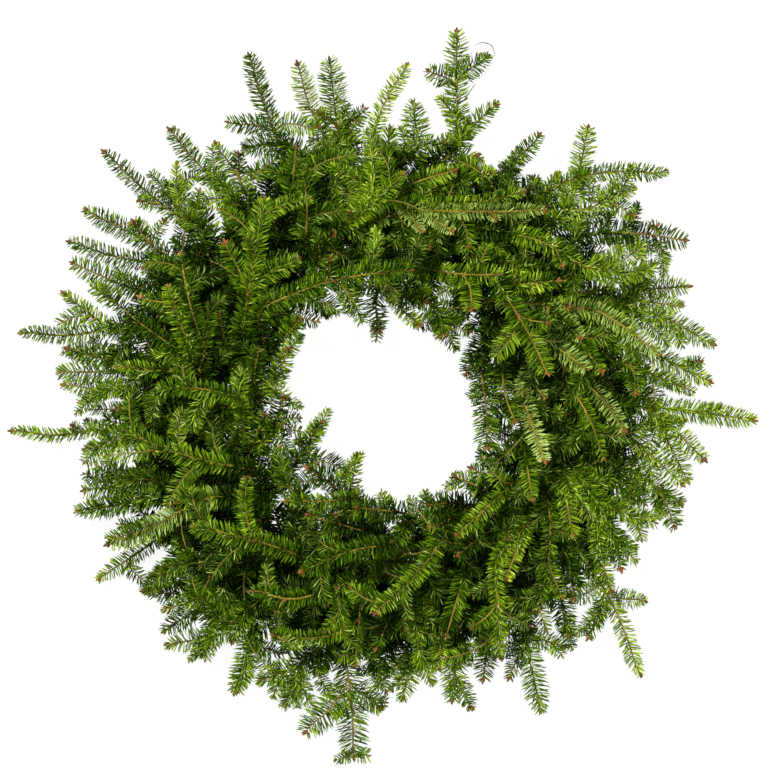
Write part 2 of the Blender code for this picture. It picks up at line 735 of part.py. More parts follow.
def lay_spray(spray, tie, place, crowd, wander):
    """The shoots of one spray, raised or lowered a little until no other bunch is touched."""
    best = None
    for attempt in range(LIFT_TRIES):
        lift = wander + LIFT_STEP * ((attempt + 1) // 2) * (1 if attempt % 2 else -1)
        head, head_radii, visible = place(lift)
        family = [whorled(tie, head, head_radii, visible, FIRST_WHORL, STEM_AT_SHOOT)]
        stem = family[0].line
        length = along(visible)[-1]
        for order, (share, tip) in enumerate(spray[5]):
            fork = share + SIDE_SPACING * order
            height = -SIDE_LIFT if order % 2 else SIDE_LIFT
            side = side_stem(stem, length, fork, tip, tie, height)
            inward = (side[0] - side[1]).normalized()
            sunk = side[0] + inward * SUNK_STEM * (1 + 1.5 * order)
            family.append(whorled(tie, [sunk], [SUNK_STEM], side, FIRST_SIDE_WHORL, SIDE_STEM))
        others = crowd.bunches != tie
        room = min(crowd.room(shoot.line, shoot.radii, others) for shoot in family)
        if best is None or room > best[0]:
            best = (room, family, [*head[1:], visible[0]])
        if room > LEAST_GAP:
            break
    for shoot in best[1]:
        crowd.add(shoot.line, shoot.radii, tie)
    return best[1:]


def lay_stems(crowd):
    """Lays the main stems of every tie first, then what forks from them."""
    rng = random.Random(4)
    shoots = []
    forks = []
    for tie, sprays in enumerate(sort_by_tie()):
        main_sprays, rest = pick_main(sprays)
        parents = []
        for slot, spray in enumerate(main_sprays):
            play = [rng.uniform(-1, 1) for _ in range(3)]
            place = partial(tied_stem, spray, tie, slot, play)
            wander = rng.uniform(-WANDER, WANDER)
            family, hidden = lay_spray(spray, tie, place, crowd, wander)
            shoots.extend(family)
            parents.append(hidden)
        forks.extend((spray, tie, parents) for spray in rest)
    for spray, tie, parents in forks:
        place = partial(forked_stem, spray, tie, parents)
        wander = rng.uniform(-WANDER, WANDER)
        family, _ = lay_spray(spray, tie, place, crowd, wander)
        shoots.extend(family)
    return shoots


def wires(route):
    """A crowd that holds only the winding and the rails."""
    crowd = Crowd()
    crowd.add(route, [BINDING_WIRE / 2] * len(route), -1)
    for radius in (OUTER_RAIL, INNER_RAIL):
        points = [polar(radius, TIE_STEP * i / 2, RAIL_HEIGHT) for i in range(2 * BUNCHES + 1)]
        crowd.add(points, [RAIL_WIRE / 2] * len(points), -1)
    return crowd


# Needles


def needled(shoot, number, name, crowd, rng, section, collection):
    """The mesh of a shoot, with needles drawn out of its whorls."""
    curve = bpy.data.curves.new(name, "CURVE")
    curve.dimensions = "3D"
    curve.twist_mode = "Z_UP"
    curve.bevel_mode = "OBJECT"
    curve.bevel_object = section
    curve.use_fill_caps = True
    spline = curve.splines.new("POLY")
    spline.points.add(len(shoot.line) - 1)
    for control, point, radius, turn in zip(
        spline.points, shoot.line, shoot.radii, shoot.turns
    ):
        control.co = (*point, 1.0)
        control.radius = radius / SECTION
        control.tilt = turn
    item = as_mesh(add_object(name, curve, collection), collection)
    work = bmesh.new()
    work.from_mesh(item.data)
    roots = [face for face in work.faces if on_whorl(face, shoot)]
    caps = [face for face in work.faces if len(face.verts) == 3]
    tip_cap = min(caps, key=lambda face: (face.calc_center_median() - shoot.line[-1]).length)
    bud = bmesh.ops.poke(work, faces=[tip_cap])["verts"][0]
    bud.co += stem_direction(shoot, shoot.line[-1]) * BUD_LENGTH
    roots = bmesh.ops.triangulate(work, faces=roots, quad_method="SHORT_EDGE")["faces"]
    for face in roots:
        way = free_way(face, shoot, number, crowd, rng)
        if way is not None:
            middle = face.calc_center_median()
            crowd.add(needle_line(middle, way), NEEDLE_RADII, shoot.tie, number)
            poked = bmesh.ops.poke(work, faces=[face])
            poked["verts"][0].co = middle + way
    # A long face between two turned sections is split along its short way, or it pinches
    bmesh.ops.triangulate(work, faces=work.faces, quad_method="SHORT_EDGE")
    work.to_mesh(item.data)
    work.free()
    return item


def on_whorl(face, shoot):
    """True for the short faces that needles grow from."""
    middle = face.calc_center_median()
    near = min((middle - whorl).length for whorl in shoot.whorls)
    return len(face.verts) == 4 and near < WHORL * 0.6


def needle_line(middle, way):
    return [middle + way * share for share in NEEDLE_SHARES]


def free_way(face, shoot, number, crowd, rng):
    """A needle's length and direction, turned until it is clear, or None."""
    middle = face.calc_center_median()
    axis = stem_direction(shoot, middle)
    outward = (face.normal - axis * face.normal.dot(axis)).normalized()
    across = axis.cross(outward)
    whorl = min(shoot.whorls, key=lambda place: (place - middle).length)
    at_tip = whorl is shoot.whorls[-1]
    if not at_tip and rng.random() > NEEDLES_KEPT:
        return None
    in_front = (middle - whorl).dot(axis) > 0
    lean = (TIP_LEANS if at_tip else WHORL_LEANS)[in_front]
    length = NEEDLE_LENGTH * rng.uniform(0.92, 1.06)
    others = crowd.shoots != number
    for attempt in range(NEEDLE_TRIES):
        angle = math.radians(lean + rng.uniform(-5, 5) - 3 * attempt)
        slide = rng.uniform(-1, 1) * (0.18 + 0.09 * attempt)
        way = outward * math.sin(angle) + axis * math.cos(angle) + across * slide
        way = way.normalized() * length
        line = needle_line(middle, way)
        high = line[-1].z > LOWEST_NEEDLE
        if high and crowd.room(line, NEEDLE_RADII, others) > LEAST_GAP:
            return way
    return None


def stem_direction(shoot, point):
    """The direction of the stretch of the shoot nearest a point."""
    best = None
    for before, after in zip(shoot.line, shoot.line[1:]):
        gap = ((before + after) / 2 - point).length
        if best is None or gap < best[0]:
            best = (gap, (after - before).normalized())
    return best[1]


def stem_section(collection):
    """The three-sided section that every shoot is drawn along."""
    curve = bpy.data.curves.new("twig_section", "CURVE")
    curve.dimensions = "2D"
    spline = curve.splines.new("POLY")
    spline.points.add(2)
    for i, control in enumerate(spline.points):
        angle = math.radians(90 + 120 * i)
        control.co = (SECTION * math.cos(angle), SECTION * math.sin(angle), 0.0, 1.0)
    spline.use_cyclic_u = True
    section = add_object("twig_section", curve, collection)
    section.hide_render = True
    section.display_type = "WIRE"
    return section


def main():
    clear_file()
    wreath = new_collection("fresh_evergreen_wreath")
    guides = new_collection("guides")
    ring_steel = finish("ring_steel", (0.05, 0.10, 0.05), 0.45, 0.6)
    wire_steel = finish("wire_steel", (0.38, 0.38, 0.37), 0.35, 1.0)
    fir = finish("fir_needles", (0.075, 0.14, 0.025), 0.5)

    wire_ring(wreath, ring_steel)
    route = winding_points()
    winding = tube("binding_wire", route, BINDING_WIRE / 2, wreath)
    winding.data.materials.append(wire_steel)

    shoots = lay_stems(wires(route))
    crowd = wires(route)
    for number, shoot in enumerate(shoots):
        crowd.add(shoot.line, shoot.radii, shoot.tie, number)

    section = stem_section(guides)
    rng = random.Random(11)
    for tie in range(BUNCHES):
        name = f"fir_bunch_{tie + 1:02d}"
        pieces = [
            needled(shoot, number, f"{name}_{number}", crowd, rng, section, wreath)
            for number, shoot in enumerate(shoots)
            if shoot.tie == tie
        ]
        bunch = joined(name, pieces, wreath, "MANIFOLD")
        bunch.data.materials.clear()
        bunch.data.materials.append(fir)
    bpy.data.objects.remove(section)


main()
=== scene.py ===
# Fresh evergreen wreath: the finished look of the bunches, their stems, needles and buds,
# and of the ring and the wire that hold them. Metres, +Z out of the front, +Y the wreath's top.

import math
import random
from collections import namedtuple
from dataclasses import dataclass
from functools import partial

import bmesh
import bpy
import numpy as np
from mathutils import Matrix, Vector


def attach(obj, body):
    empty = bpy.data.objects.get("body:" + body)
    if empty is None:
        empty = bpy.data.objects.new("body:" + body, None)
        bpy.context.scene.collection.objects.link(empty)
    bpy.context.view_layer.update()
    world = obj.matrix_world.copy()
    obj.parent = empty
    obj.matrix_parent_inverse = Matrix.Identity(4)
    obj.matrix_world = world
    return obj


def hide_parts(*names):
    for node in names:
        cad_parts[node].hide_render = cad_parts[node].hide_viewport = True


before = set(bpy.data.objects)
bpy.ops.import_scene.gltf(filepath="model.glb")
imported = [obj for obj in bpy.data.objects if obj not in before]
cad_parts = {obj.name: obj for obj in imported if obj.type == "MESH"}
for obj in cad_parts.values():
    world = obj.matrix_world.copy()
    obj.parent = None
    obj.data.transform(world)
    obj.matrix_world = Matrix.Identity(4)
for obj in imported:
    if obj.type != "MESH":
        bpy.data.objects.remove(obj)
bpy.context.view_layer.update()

# Driving dimensions
OUTER_RAIL = 0.1507
INNER_RAIL = 0.1383
RAIL_WIRE = 0.0040
RAIL_HEIGHT = 0.0050
CROSS_BAR_WIDTH = 0.0050
CROSS_BAR_HEIGHT = 0.0048
BINDING_WIRE = 0.0010
BUNCHES = 20
BAR_EVERY = 4
STEM_AT_TIE = 0.0015
STEM_BELOW_SHOOT = 0.0016
STEM_AT_SHOOT = 0.00145
STEM_AT_TIP = 0.0011
SIDE_STEM = 0.0013
SUNK_STEM = 0.0007
BUD_LENGTH = 0.0055
CUT_END = 0.015
NEEDLE_LENGTH = 0.0150

# Gaps that pieces keep from each other
CLEAR = 0.0004
LEAST_GAP = 0.00025

# Small numbers that keep divisions and comparisons safe, and the reach within which points join
TINY = 1e-9
PARALLEL = 1e-18
NUDGE = 1e-4
WELD = 1e-6

# The sprays were placed on the photograph: one pixel there is this long on the wreath,
# the ring's centre is at these pixels, and it lies this far from the origin
PIXEL = 0.00082
RING_COLUMN = 381
RING_ROW = 406
RING_X = -0.0006
RING_Y = -0.0085

UP = np.array((0.0, 0.0, 1.0))
TIE_STEP = 2 * math.pi / BUNCHES
MID_RADIUS = (OUTER_RAIL + INNER_RAIL) / 2
HALF_GAUGE = (OUTER_RAIL - INNER_RAIL) / 2

# The main stems of one tie lie side by side in rows, and the rest fork from them
ROWS = (2, 1)
MOST_AT_TIE = 11
STEM_PITCH = 0.0023
ROW_HEIGHT = 0.0019
LOWEST_STEM = 0.0069
STEM_PLAY = 0.00006
GIRTH_PLAY = 0.05
CUT_PLAY = 0.125
CHORD_SAG = 0.0002
BUNDLE_TOP = LOWEST_STEM + ROW_HEIGHT * (len(ROWS) - 1) + STEM_AT_TIE

# The binding wire's turn at each tie: its corners, as shares of the step to the next tie, how
# many stem pitches and gaps it keeps to each side, and how high it passes the rails
TURN_OVER = 0.04
TURN_DOWN = 0.10
TURN_UNDER = 0.17
TURN_PITCHES = 1.4
TURN_GAPS = 1.5
TURN_RISE = 0.0008

# How far from its tie, along the ring, a spray comes out from under the others, back to front
REACH = (0.030, 0.045, 0.062, 0.080)

# A stem climbs this much for each metre along the ring. It is less steep on the outside of the
# ring and in the hole, it first steps up out of the groove between the rails, and levels off.
STEEPEST = 0.62
EASED_OUTSIDE = 0.32
EASED_INSIDE = 0.16
OUTSIDE = (0.165, 0.290)
INSIDE = (0.100, 0.040)
CLIMB_START = 0.008
CLIMB_END = 0.105
LEVEL_SHARE = 0.22
GROOVE_EDGE = 0.006
GROOVE_STEP = 0.0035
WANDER = 0.003
LOWEST_TIP = 0.006

# Forks of the hidden stems, and of the side shoots
FORK_SHARES = (0.35, 0.55, 0.75)
FORK_LEAST = 0.012
FORK_AHEAD = 0.004
FORK_TURN_COST = 0.6
LEAD_HANDLE = 0.4
SPRAY_PARTS = 12
SIDE_PARTS = 8
SIDE_SPACING = 0.025
SIDE_LIFT = 0.006
SIDE_BEND = 0.45
SUNK_FURTHER = 1.5

# A stem that would touch another bunch is laid higher or lower, step by step
LIFT_STEP = 0.0015
LIFT_TRIES = 12
NEARBY = 0.02

# The solids' needle whorls, which set how the sprays clear each other
WHORL = 0.0040
WHORL_STEP = 0.0275
FIRST_WHORL = 0.006
FIRST_SIDE_WHORL = 0.009
LAST_WHORL = WHORL / 2
NEEDLES_PAST_STEM = 0.010

# How the twigs and wires are drawn: finer than the solids, along the same lines
HIDDEN_PARTS = 10
BARE_AT_TIE = 0.016
BARE_AT_FORK = 0.006
LINE_STEP = 0.001
LINE_SMOOTHING = 6
DRAWN_FURTHER = 0.0085
TWIG_STEP = 0.0065
TWIG_POINTS = 6
TWIG_PLAY = 0.05
TWIG_ROUNDING = 1
FORK_SWELLING = 1.25
WIRE_ROUNDING = 2
CORNER_CUT = 0.25
RAIL_POINTS = 120
BAR_ROUNDING = 0.0008
BAR_OVERLAP = 0.8

# The kinds of twigs, and for each kind the radii of its wood at the root and the tip, the
# lengths of its needles as shares of the full length, and how much wider and sparser they are
MAIN_STEM, SIDE_SHOOT, SHORT_TWIG, LOW_TWIG = range(4)
TWIG_RADII = ((0.0011, 0.0006), (0.0007, 0.0005), (0.0006, 0.0004), (0.0006, 0.0004))
NEEDLE_SIZES = ((0.64, 0.88), (0.60, 0.84), (0.54, 0.78), (0.80, 1.0))
NEEDLES_WIDER = (1.0, 1.0, 1.0, 1.5)
NEEDLES_SPARSER = (1.0, 1.0, 1.0, 1.25)

# Short twigs in the depth of the wreath
REACH_STEPS = 60
FILL_INSET = 0.014
FILL_LIMIT = 0.225
FILL_EVERY = 0.019
FILL_FIRST = (0.1, 0.6)
FILL_PLAY = (0.8, 1.2)
FILL_STOP = 0.015
FILL_TURN = (40, 65)
FILL_LENGTH = (0.030, 0.055)
FILL_DEPTH = (0.35, 0.85)

# Low twigs that spread from each tie: how far along the ring and across it their tips lie, and
# how high
LOW_TWIGS = (
    (0.062, -0.050), (0.040, -0.036), (0.070, -0.026), (0.052, 0.012), (0.064, 0.036),
    (0.036, 0.044), (0.056, 0.060), (0.046, 0.074), (0.078, 0.080), (0.090, 0.062),
    (0.056, -0.014), (0.074, 0.024), (0.078, 0.048), (0.060, -0.038), (0.048, 0.058),
    (0.084, 0.004), (0.092, 0.034), (0.086, 0.052), (0.066, 0.070),
)
LOW_PLAY_AHEAD = (0.9, 1.15)
LOW_PLAY_ACROSS = 0.006
LOW_START = 0.012
LOW_HEIGHTS = (0.009, 0.020)

# Needles: width, thickness, how far they bend down and sweep forwards as shares of their length,
# and their outline, as places along them and shares of the width
NEEDLE_WIDTH = 0.0011
NEEDLE_THICKNESS = 0.0007
NEEDLE_BEND = 0.06
NEEDLE_SWEEP = 0.16
NEEDLE_SHAPE = ((0.0, 0.7), (0.75, 1.0), (1.0, 0.0))
NEEDLE_FLOOR = 0.0012

# How single needles differ in length, width, sweep and the way that they face
LENGTH_PLAY = (0.92, 1.08)
WIDTH_PLAY = (0.85, 1.12)
SWEEP_PLAY = (0.2, 1.8)
FACING_PLAY = 0.38

# Sprays in the two front layers have shorter needles
FRONT_LAYER = 2
FRONT_SHARE = 0.86

# Sprays whose needles are longer or shorter than most, as shares of the full length
NEEDLES_OF = {
    "a1": 0.66, "b1": 0.76, "b4": 0.76, "b5": 0.90, "c1": 0.82, "c5": 0.68, "c6": 0.80, "c8": 0.62,
    "c7": 0.54, "c7b": 0.54, "h1": 0.54, "h2": 0.46, "h5": 0.70, "h6": 0.78, "g1": 0.70, "g2": 0.74,
    "i2": 0.64, "e6": 0.60, "f1": 0.54, "f8": 0.64, "i6": 0.76, "l14": 1.0, "m10": 0.85, "n1": 0.66,
}

# Rows of needles on each side of a twig: angle from its upper side, lean from its tip, share of
# the full length, spacing, and how far they face forwards
NEEDLE_ROWS = (
    (86, 80, 1.0, 0.0019, 0.15),
    (57, 70, 0.92, 0.0032, 0.35),
    (26, 50, 0.74, 0.0044, 0.2),
    (118, 78, 0.95, 0.0036, 0.0),
)
# Rows over the stretch of a stem that other sprays hide
COVER_ROWS = ((10, 38, 0.80, 0.0021, 0.3),)
# Play of single needles along the twig, as a share of the spacing, and in angle and lean
SPACING_PLAY = 0.2
ANGLE_PLAY = 11
LEAN_PLAY = 6
# How whole twigs differ: in lean, in roll, and in whether their needles are parted on top
LEAN_BY_TWIG = 5.0
ROLL_BY_TWIG = 14
PARTED_SHARE = 0.4
PARTING = 30

# Towards a tip the needles lean in and get shorter, and a closed tip has a rosette round its bud
OPEN_TIPS = 0.5
TIP_STRETCH = 0.016
OPEN_LEANS_IN = 0.2
CLOSED_LEANS_IN = 0.42
SHORTER_AT_TIP = 0.4
ROSETTE = 7
ROSETTE_TURN = 60
ROSETTE_STRETCH = 0.003
ROSETTE_LEANS = (30, 60)
ROSETTE_SHARE = 0.85
ROSETTE_FACING = 0.5

# Buds: girth as a share of their length, taper from end to end, sizes, and the shares of the
# full size that stand on short twigs and at forks
BUD_GIRTH = 0.62
BUD_SIDES = 6
BUD_BANDS = 5
BUD_AT_BASE = 1.15
BUD_TAPER = 0.75
BUD_SIZES = (0.8, 1.15)
SHORT_TWIG_BUD = 0.65
FORK_BUD = 0.7
BUD_SUNK = 0.0006
# Smaller buds beside each of them, two or three, but one at most on a short twig
SIDE_BUDS = (2, 4)
SIDE_BUDS_OF_SHORT_TWIG = (0, 2)
SIDE_BUD_LEANS = (35, 55)
SIDE_BUD_SHARE = 0.72
SIDE_BUD_APART = 0.0004

# The palette's rows run from deep green to fresh yellow-green. A needle's row depends on its
# place, its twig and its depth, and on chance.
TONES = 24
TONE_MIDDLE = 12.3
TONE_ACROSS = 0.5
TONE_UPWARDS = 0.6
TONE_BY_TWIG = 2.0
TONE_BY_NEEDLE = 3.1
TONE_FRESH = 2.5
TONE_AT_TIP = 1.5
# Rows taken from needles on a twig's lower side: painted shade
TONE_SHADE_BELOW = 2.5
# Rows taken from needles deep under the canopy: painted shade, and partly the darker green of older
# inner needles
TONE_PAINTED_SHADE = 9.0
# Cosine of the angle from a twig's upper side past which a needle counts as a lower one, and gets
# painted shade
LOWER_SIDE = -0.2
# The canopy's cells, and the depths below it at which the painted shade starts and is full
CANOPY_CELL = 0.008
CANOPY_CELLS = 90
CANOPY_SPREAD = 2
CANOPY_SKIN = 0.006
CANOPY_DEPTH = 0.022
# Past this radius the sprays stand free of each other, and light comes to the lower ones too, as it does
# near the hole, so both get less painted shade
LIT_RADIUS = 0.245
LIT_FADE = 0.045
HOLE_LIT = 0.060
HOLE_FADE = 0.040
LIT_SHADE = 0.3
# A needle on the palette: how far it keeps off the ends of its half row, and half its width
SPOT_EDGE = 0.02
SPOT_ACROSS = 0.42
TOP_TONES = (
    (0.0, (0.004, 0.010, 0.0006)),
    (0.25, (0.011, 0.029, 0.001)),
    (0.5, (0.039, 0.090, 0.002)),
    (0.75, (0.132, 0.214, 0.006)),
    (1.0, (0.320, 0.410, 0.040)),
)
UNDERSIDE_TONES = (
    (0.0, (0.006, 0.014, 0.001)),
    (0.5, (0.100, 0.165, 0.011)),
    (1.0, (0.280, 0.360, 0.060)),
)
# Pale bands beneath each needle: distance from its middle line, and width, as shares of a row
BAND_PLACE = 0.23
BAND_WIDTH = 0.17
BAND_TONES = (
    (0.0, (0.010, 0.020, 0.004)),
    (0.5, (0.255, 0.345, 0.085)),
    (1.0, (0.480, 0.580, 0.270)),
)
# The pale base of each needle: its colour, its share of the length, and how strong it is
NEEDLE_BASE_COLOUR = (0.200, 0.220, 0.060)
NEEDLE_BASE = 0.12
NEEDLE_BASE_SHARE = 0.5
TOP_ROUGHNESS = 0.2
DULL_ROUGHNESS = 0.6
NEEDLE_GLOSS = 0.012

# Bark and bud scales: colours of their patches, patch sizes, and the heights between which they
# go from painted shade to full light
BARK_COLOURS = (
    (0.30, (0.045, 0.035, 0.003)),
    (0.45, (0.105, 0.080, 0.005)),
    (0.60, (0.205, 0.150, 0.016)),
    (0.75, (0.110, 0.100, 0.006)),
)
BUD_COLOURS = (
    (0.30, (0.075, 0.029, 0.008)),
    (0.55, (0.155, 0.062, 0.016)),
    (0.75, (0.290, 0.155, 0.045)),
)
BARK_SCALE = 55.0
BUD_SCALE = 160.0
BARK_ROUGHNESS = 0.7
BUD_ROUGHNESS = 0.4
BARK_SHADE = (0.004, 0.062)
BARK_DARK = 0.5
BARK_GLOSS = 0.15
PATCH_DETAIL = 3.0
GRAIN_DETAIL = 2.0
GRAIN_FINER = 12
GRAIN_STRENGTH = 0.5
GRAIN_DEPTH = 0.0002

# The ring's enamel and the bare wire: colours of their faint stains, roughness and stain size
ENAMEL_COLOURS = ((0.35, (0.02, 0.06, 0.03)), (0.65, (0.035, 0.10, 0.055)))
WIRE_COLOURS = ((0.35, (0.22, 0.22, 0.21)), (0.65, (0.42, 0.42, 0.41)))
ENAMEL_ROUGHNESS = 0.35
WIRE_ROUGHNESS = 0.3
STAIN_SCALE = 180.0

# The binding wire's loose end: turns round the stem of one spray, each in a few steps and a few
# radii from the last, then a loop in pixels that first climbs, step by step, and then rises slowly
END_SPRAY = "c1"
END_TURNS = 3
END_RADIUS = 0.0004
END_STEPS = 10
END_PITCH = 2.4
END_CLIMBS = 3
END_CLIMB = 0.001
END_RISE = 0.0003
END_START = (458, 103)
END_LOOP = (
    (463, 101), (468, 94), (476, 82), (485, 71), (492, 62), (495, 53), (493, 45), (484, 41),
    (475, 44), (471, 52), (472, 60),
)

# Sprays that are drawn with more bow than their solids have, in pixels
BENT_FURTHER = {"c7b": -6, "c8": 17, "n1": 9, "b1": 6, "b5": 4, "f1": 8}

# Sprays that show their undersides, and those with the freshest green
SEEN_FROM_BELOW = ("b4", "c7b", "f7", "h1", "h2", "h10", "h11", "h12", "h18", "h21", "i2")
FRESH = (
    "b7", "c7", "c7b", "c10", "c11", "d5", "e6", "f1", "f7", "f8", "f13", "h1", "h2", "h5",
    "h9", "i4", "i10", "j3", "j5", "k9", "k10", "k12", "k18", "m3", "m5", "n1",
)

# Floor, lights and camera
PHOTO_PIXELS = 770
PHOTO_MIDDLE = (385, 385)
CAMERA_HEIGHT = 6.0
FOCUS_HEIGHT = 0.04
FLOOR_SIZE = 30.0
FLOOR_COLOUR = (0.06, 0.06, 0.06)
FLOOR_GLOW = 0.94
FLOOR_ROUGHNESS = 0.9
KEY_PLACE = (-1.7, 1.8, 4.2)
KEY_SIZE = 1.1
KEY_POWER = 470.0
SECOND_PLACE = (1.9, -0.8, 4.2)
SECOND_SIZE = 1.4
SECOND_POWER = 140.0
SKY = 0.30
LIGHT_COLOUR = (1.0, 0.985, 0.88)
SENSOR_WIDTH = 36.0
NEAREST_SEEN = 0.1
FURTHEST_SEEN = 50.0

# Seeds of the sprays' play, of the filling and of the needles and buds
LAYING_SEED = 4
FILLING_SEED = 7
NEEDLE_SEED = 5

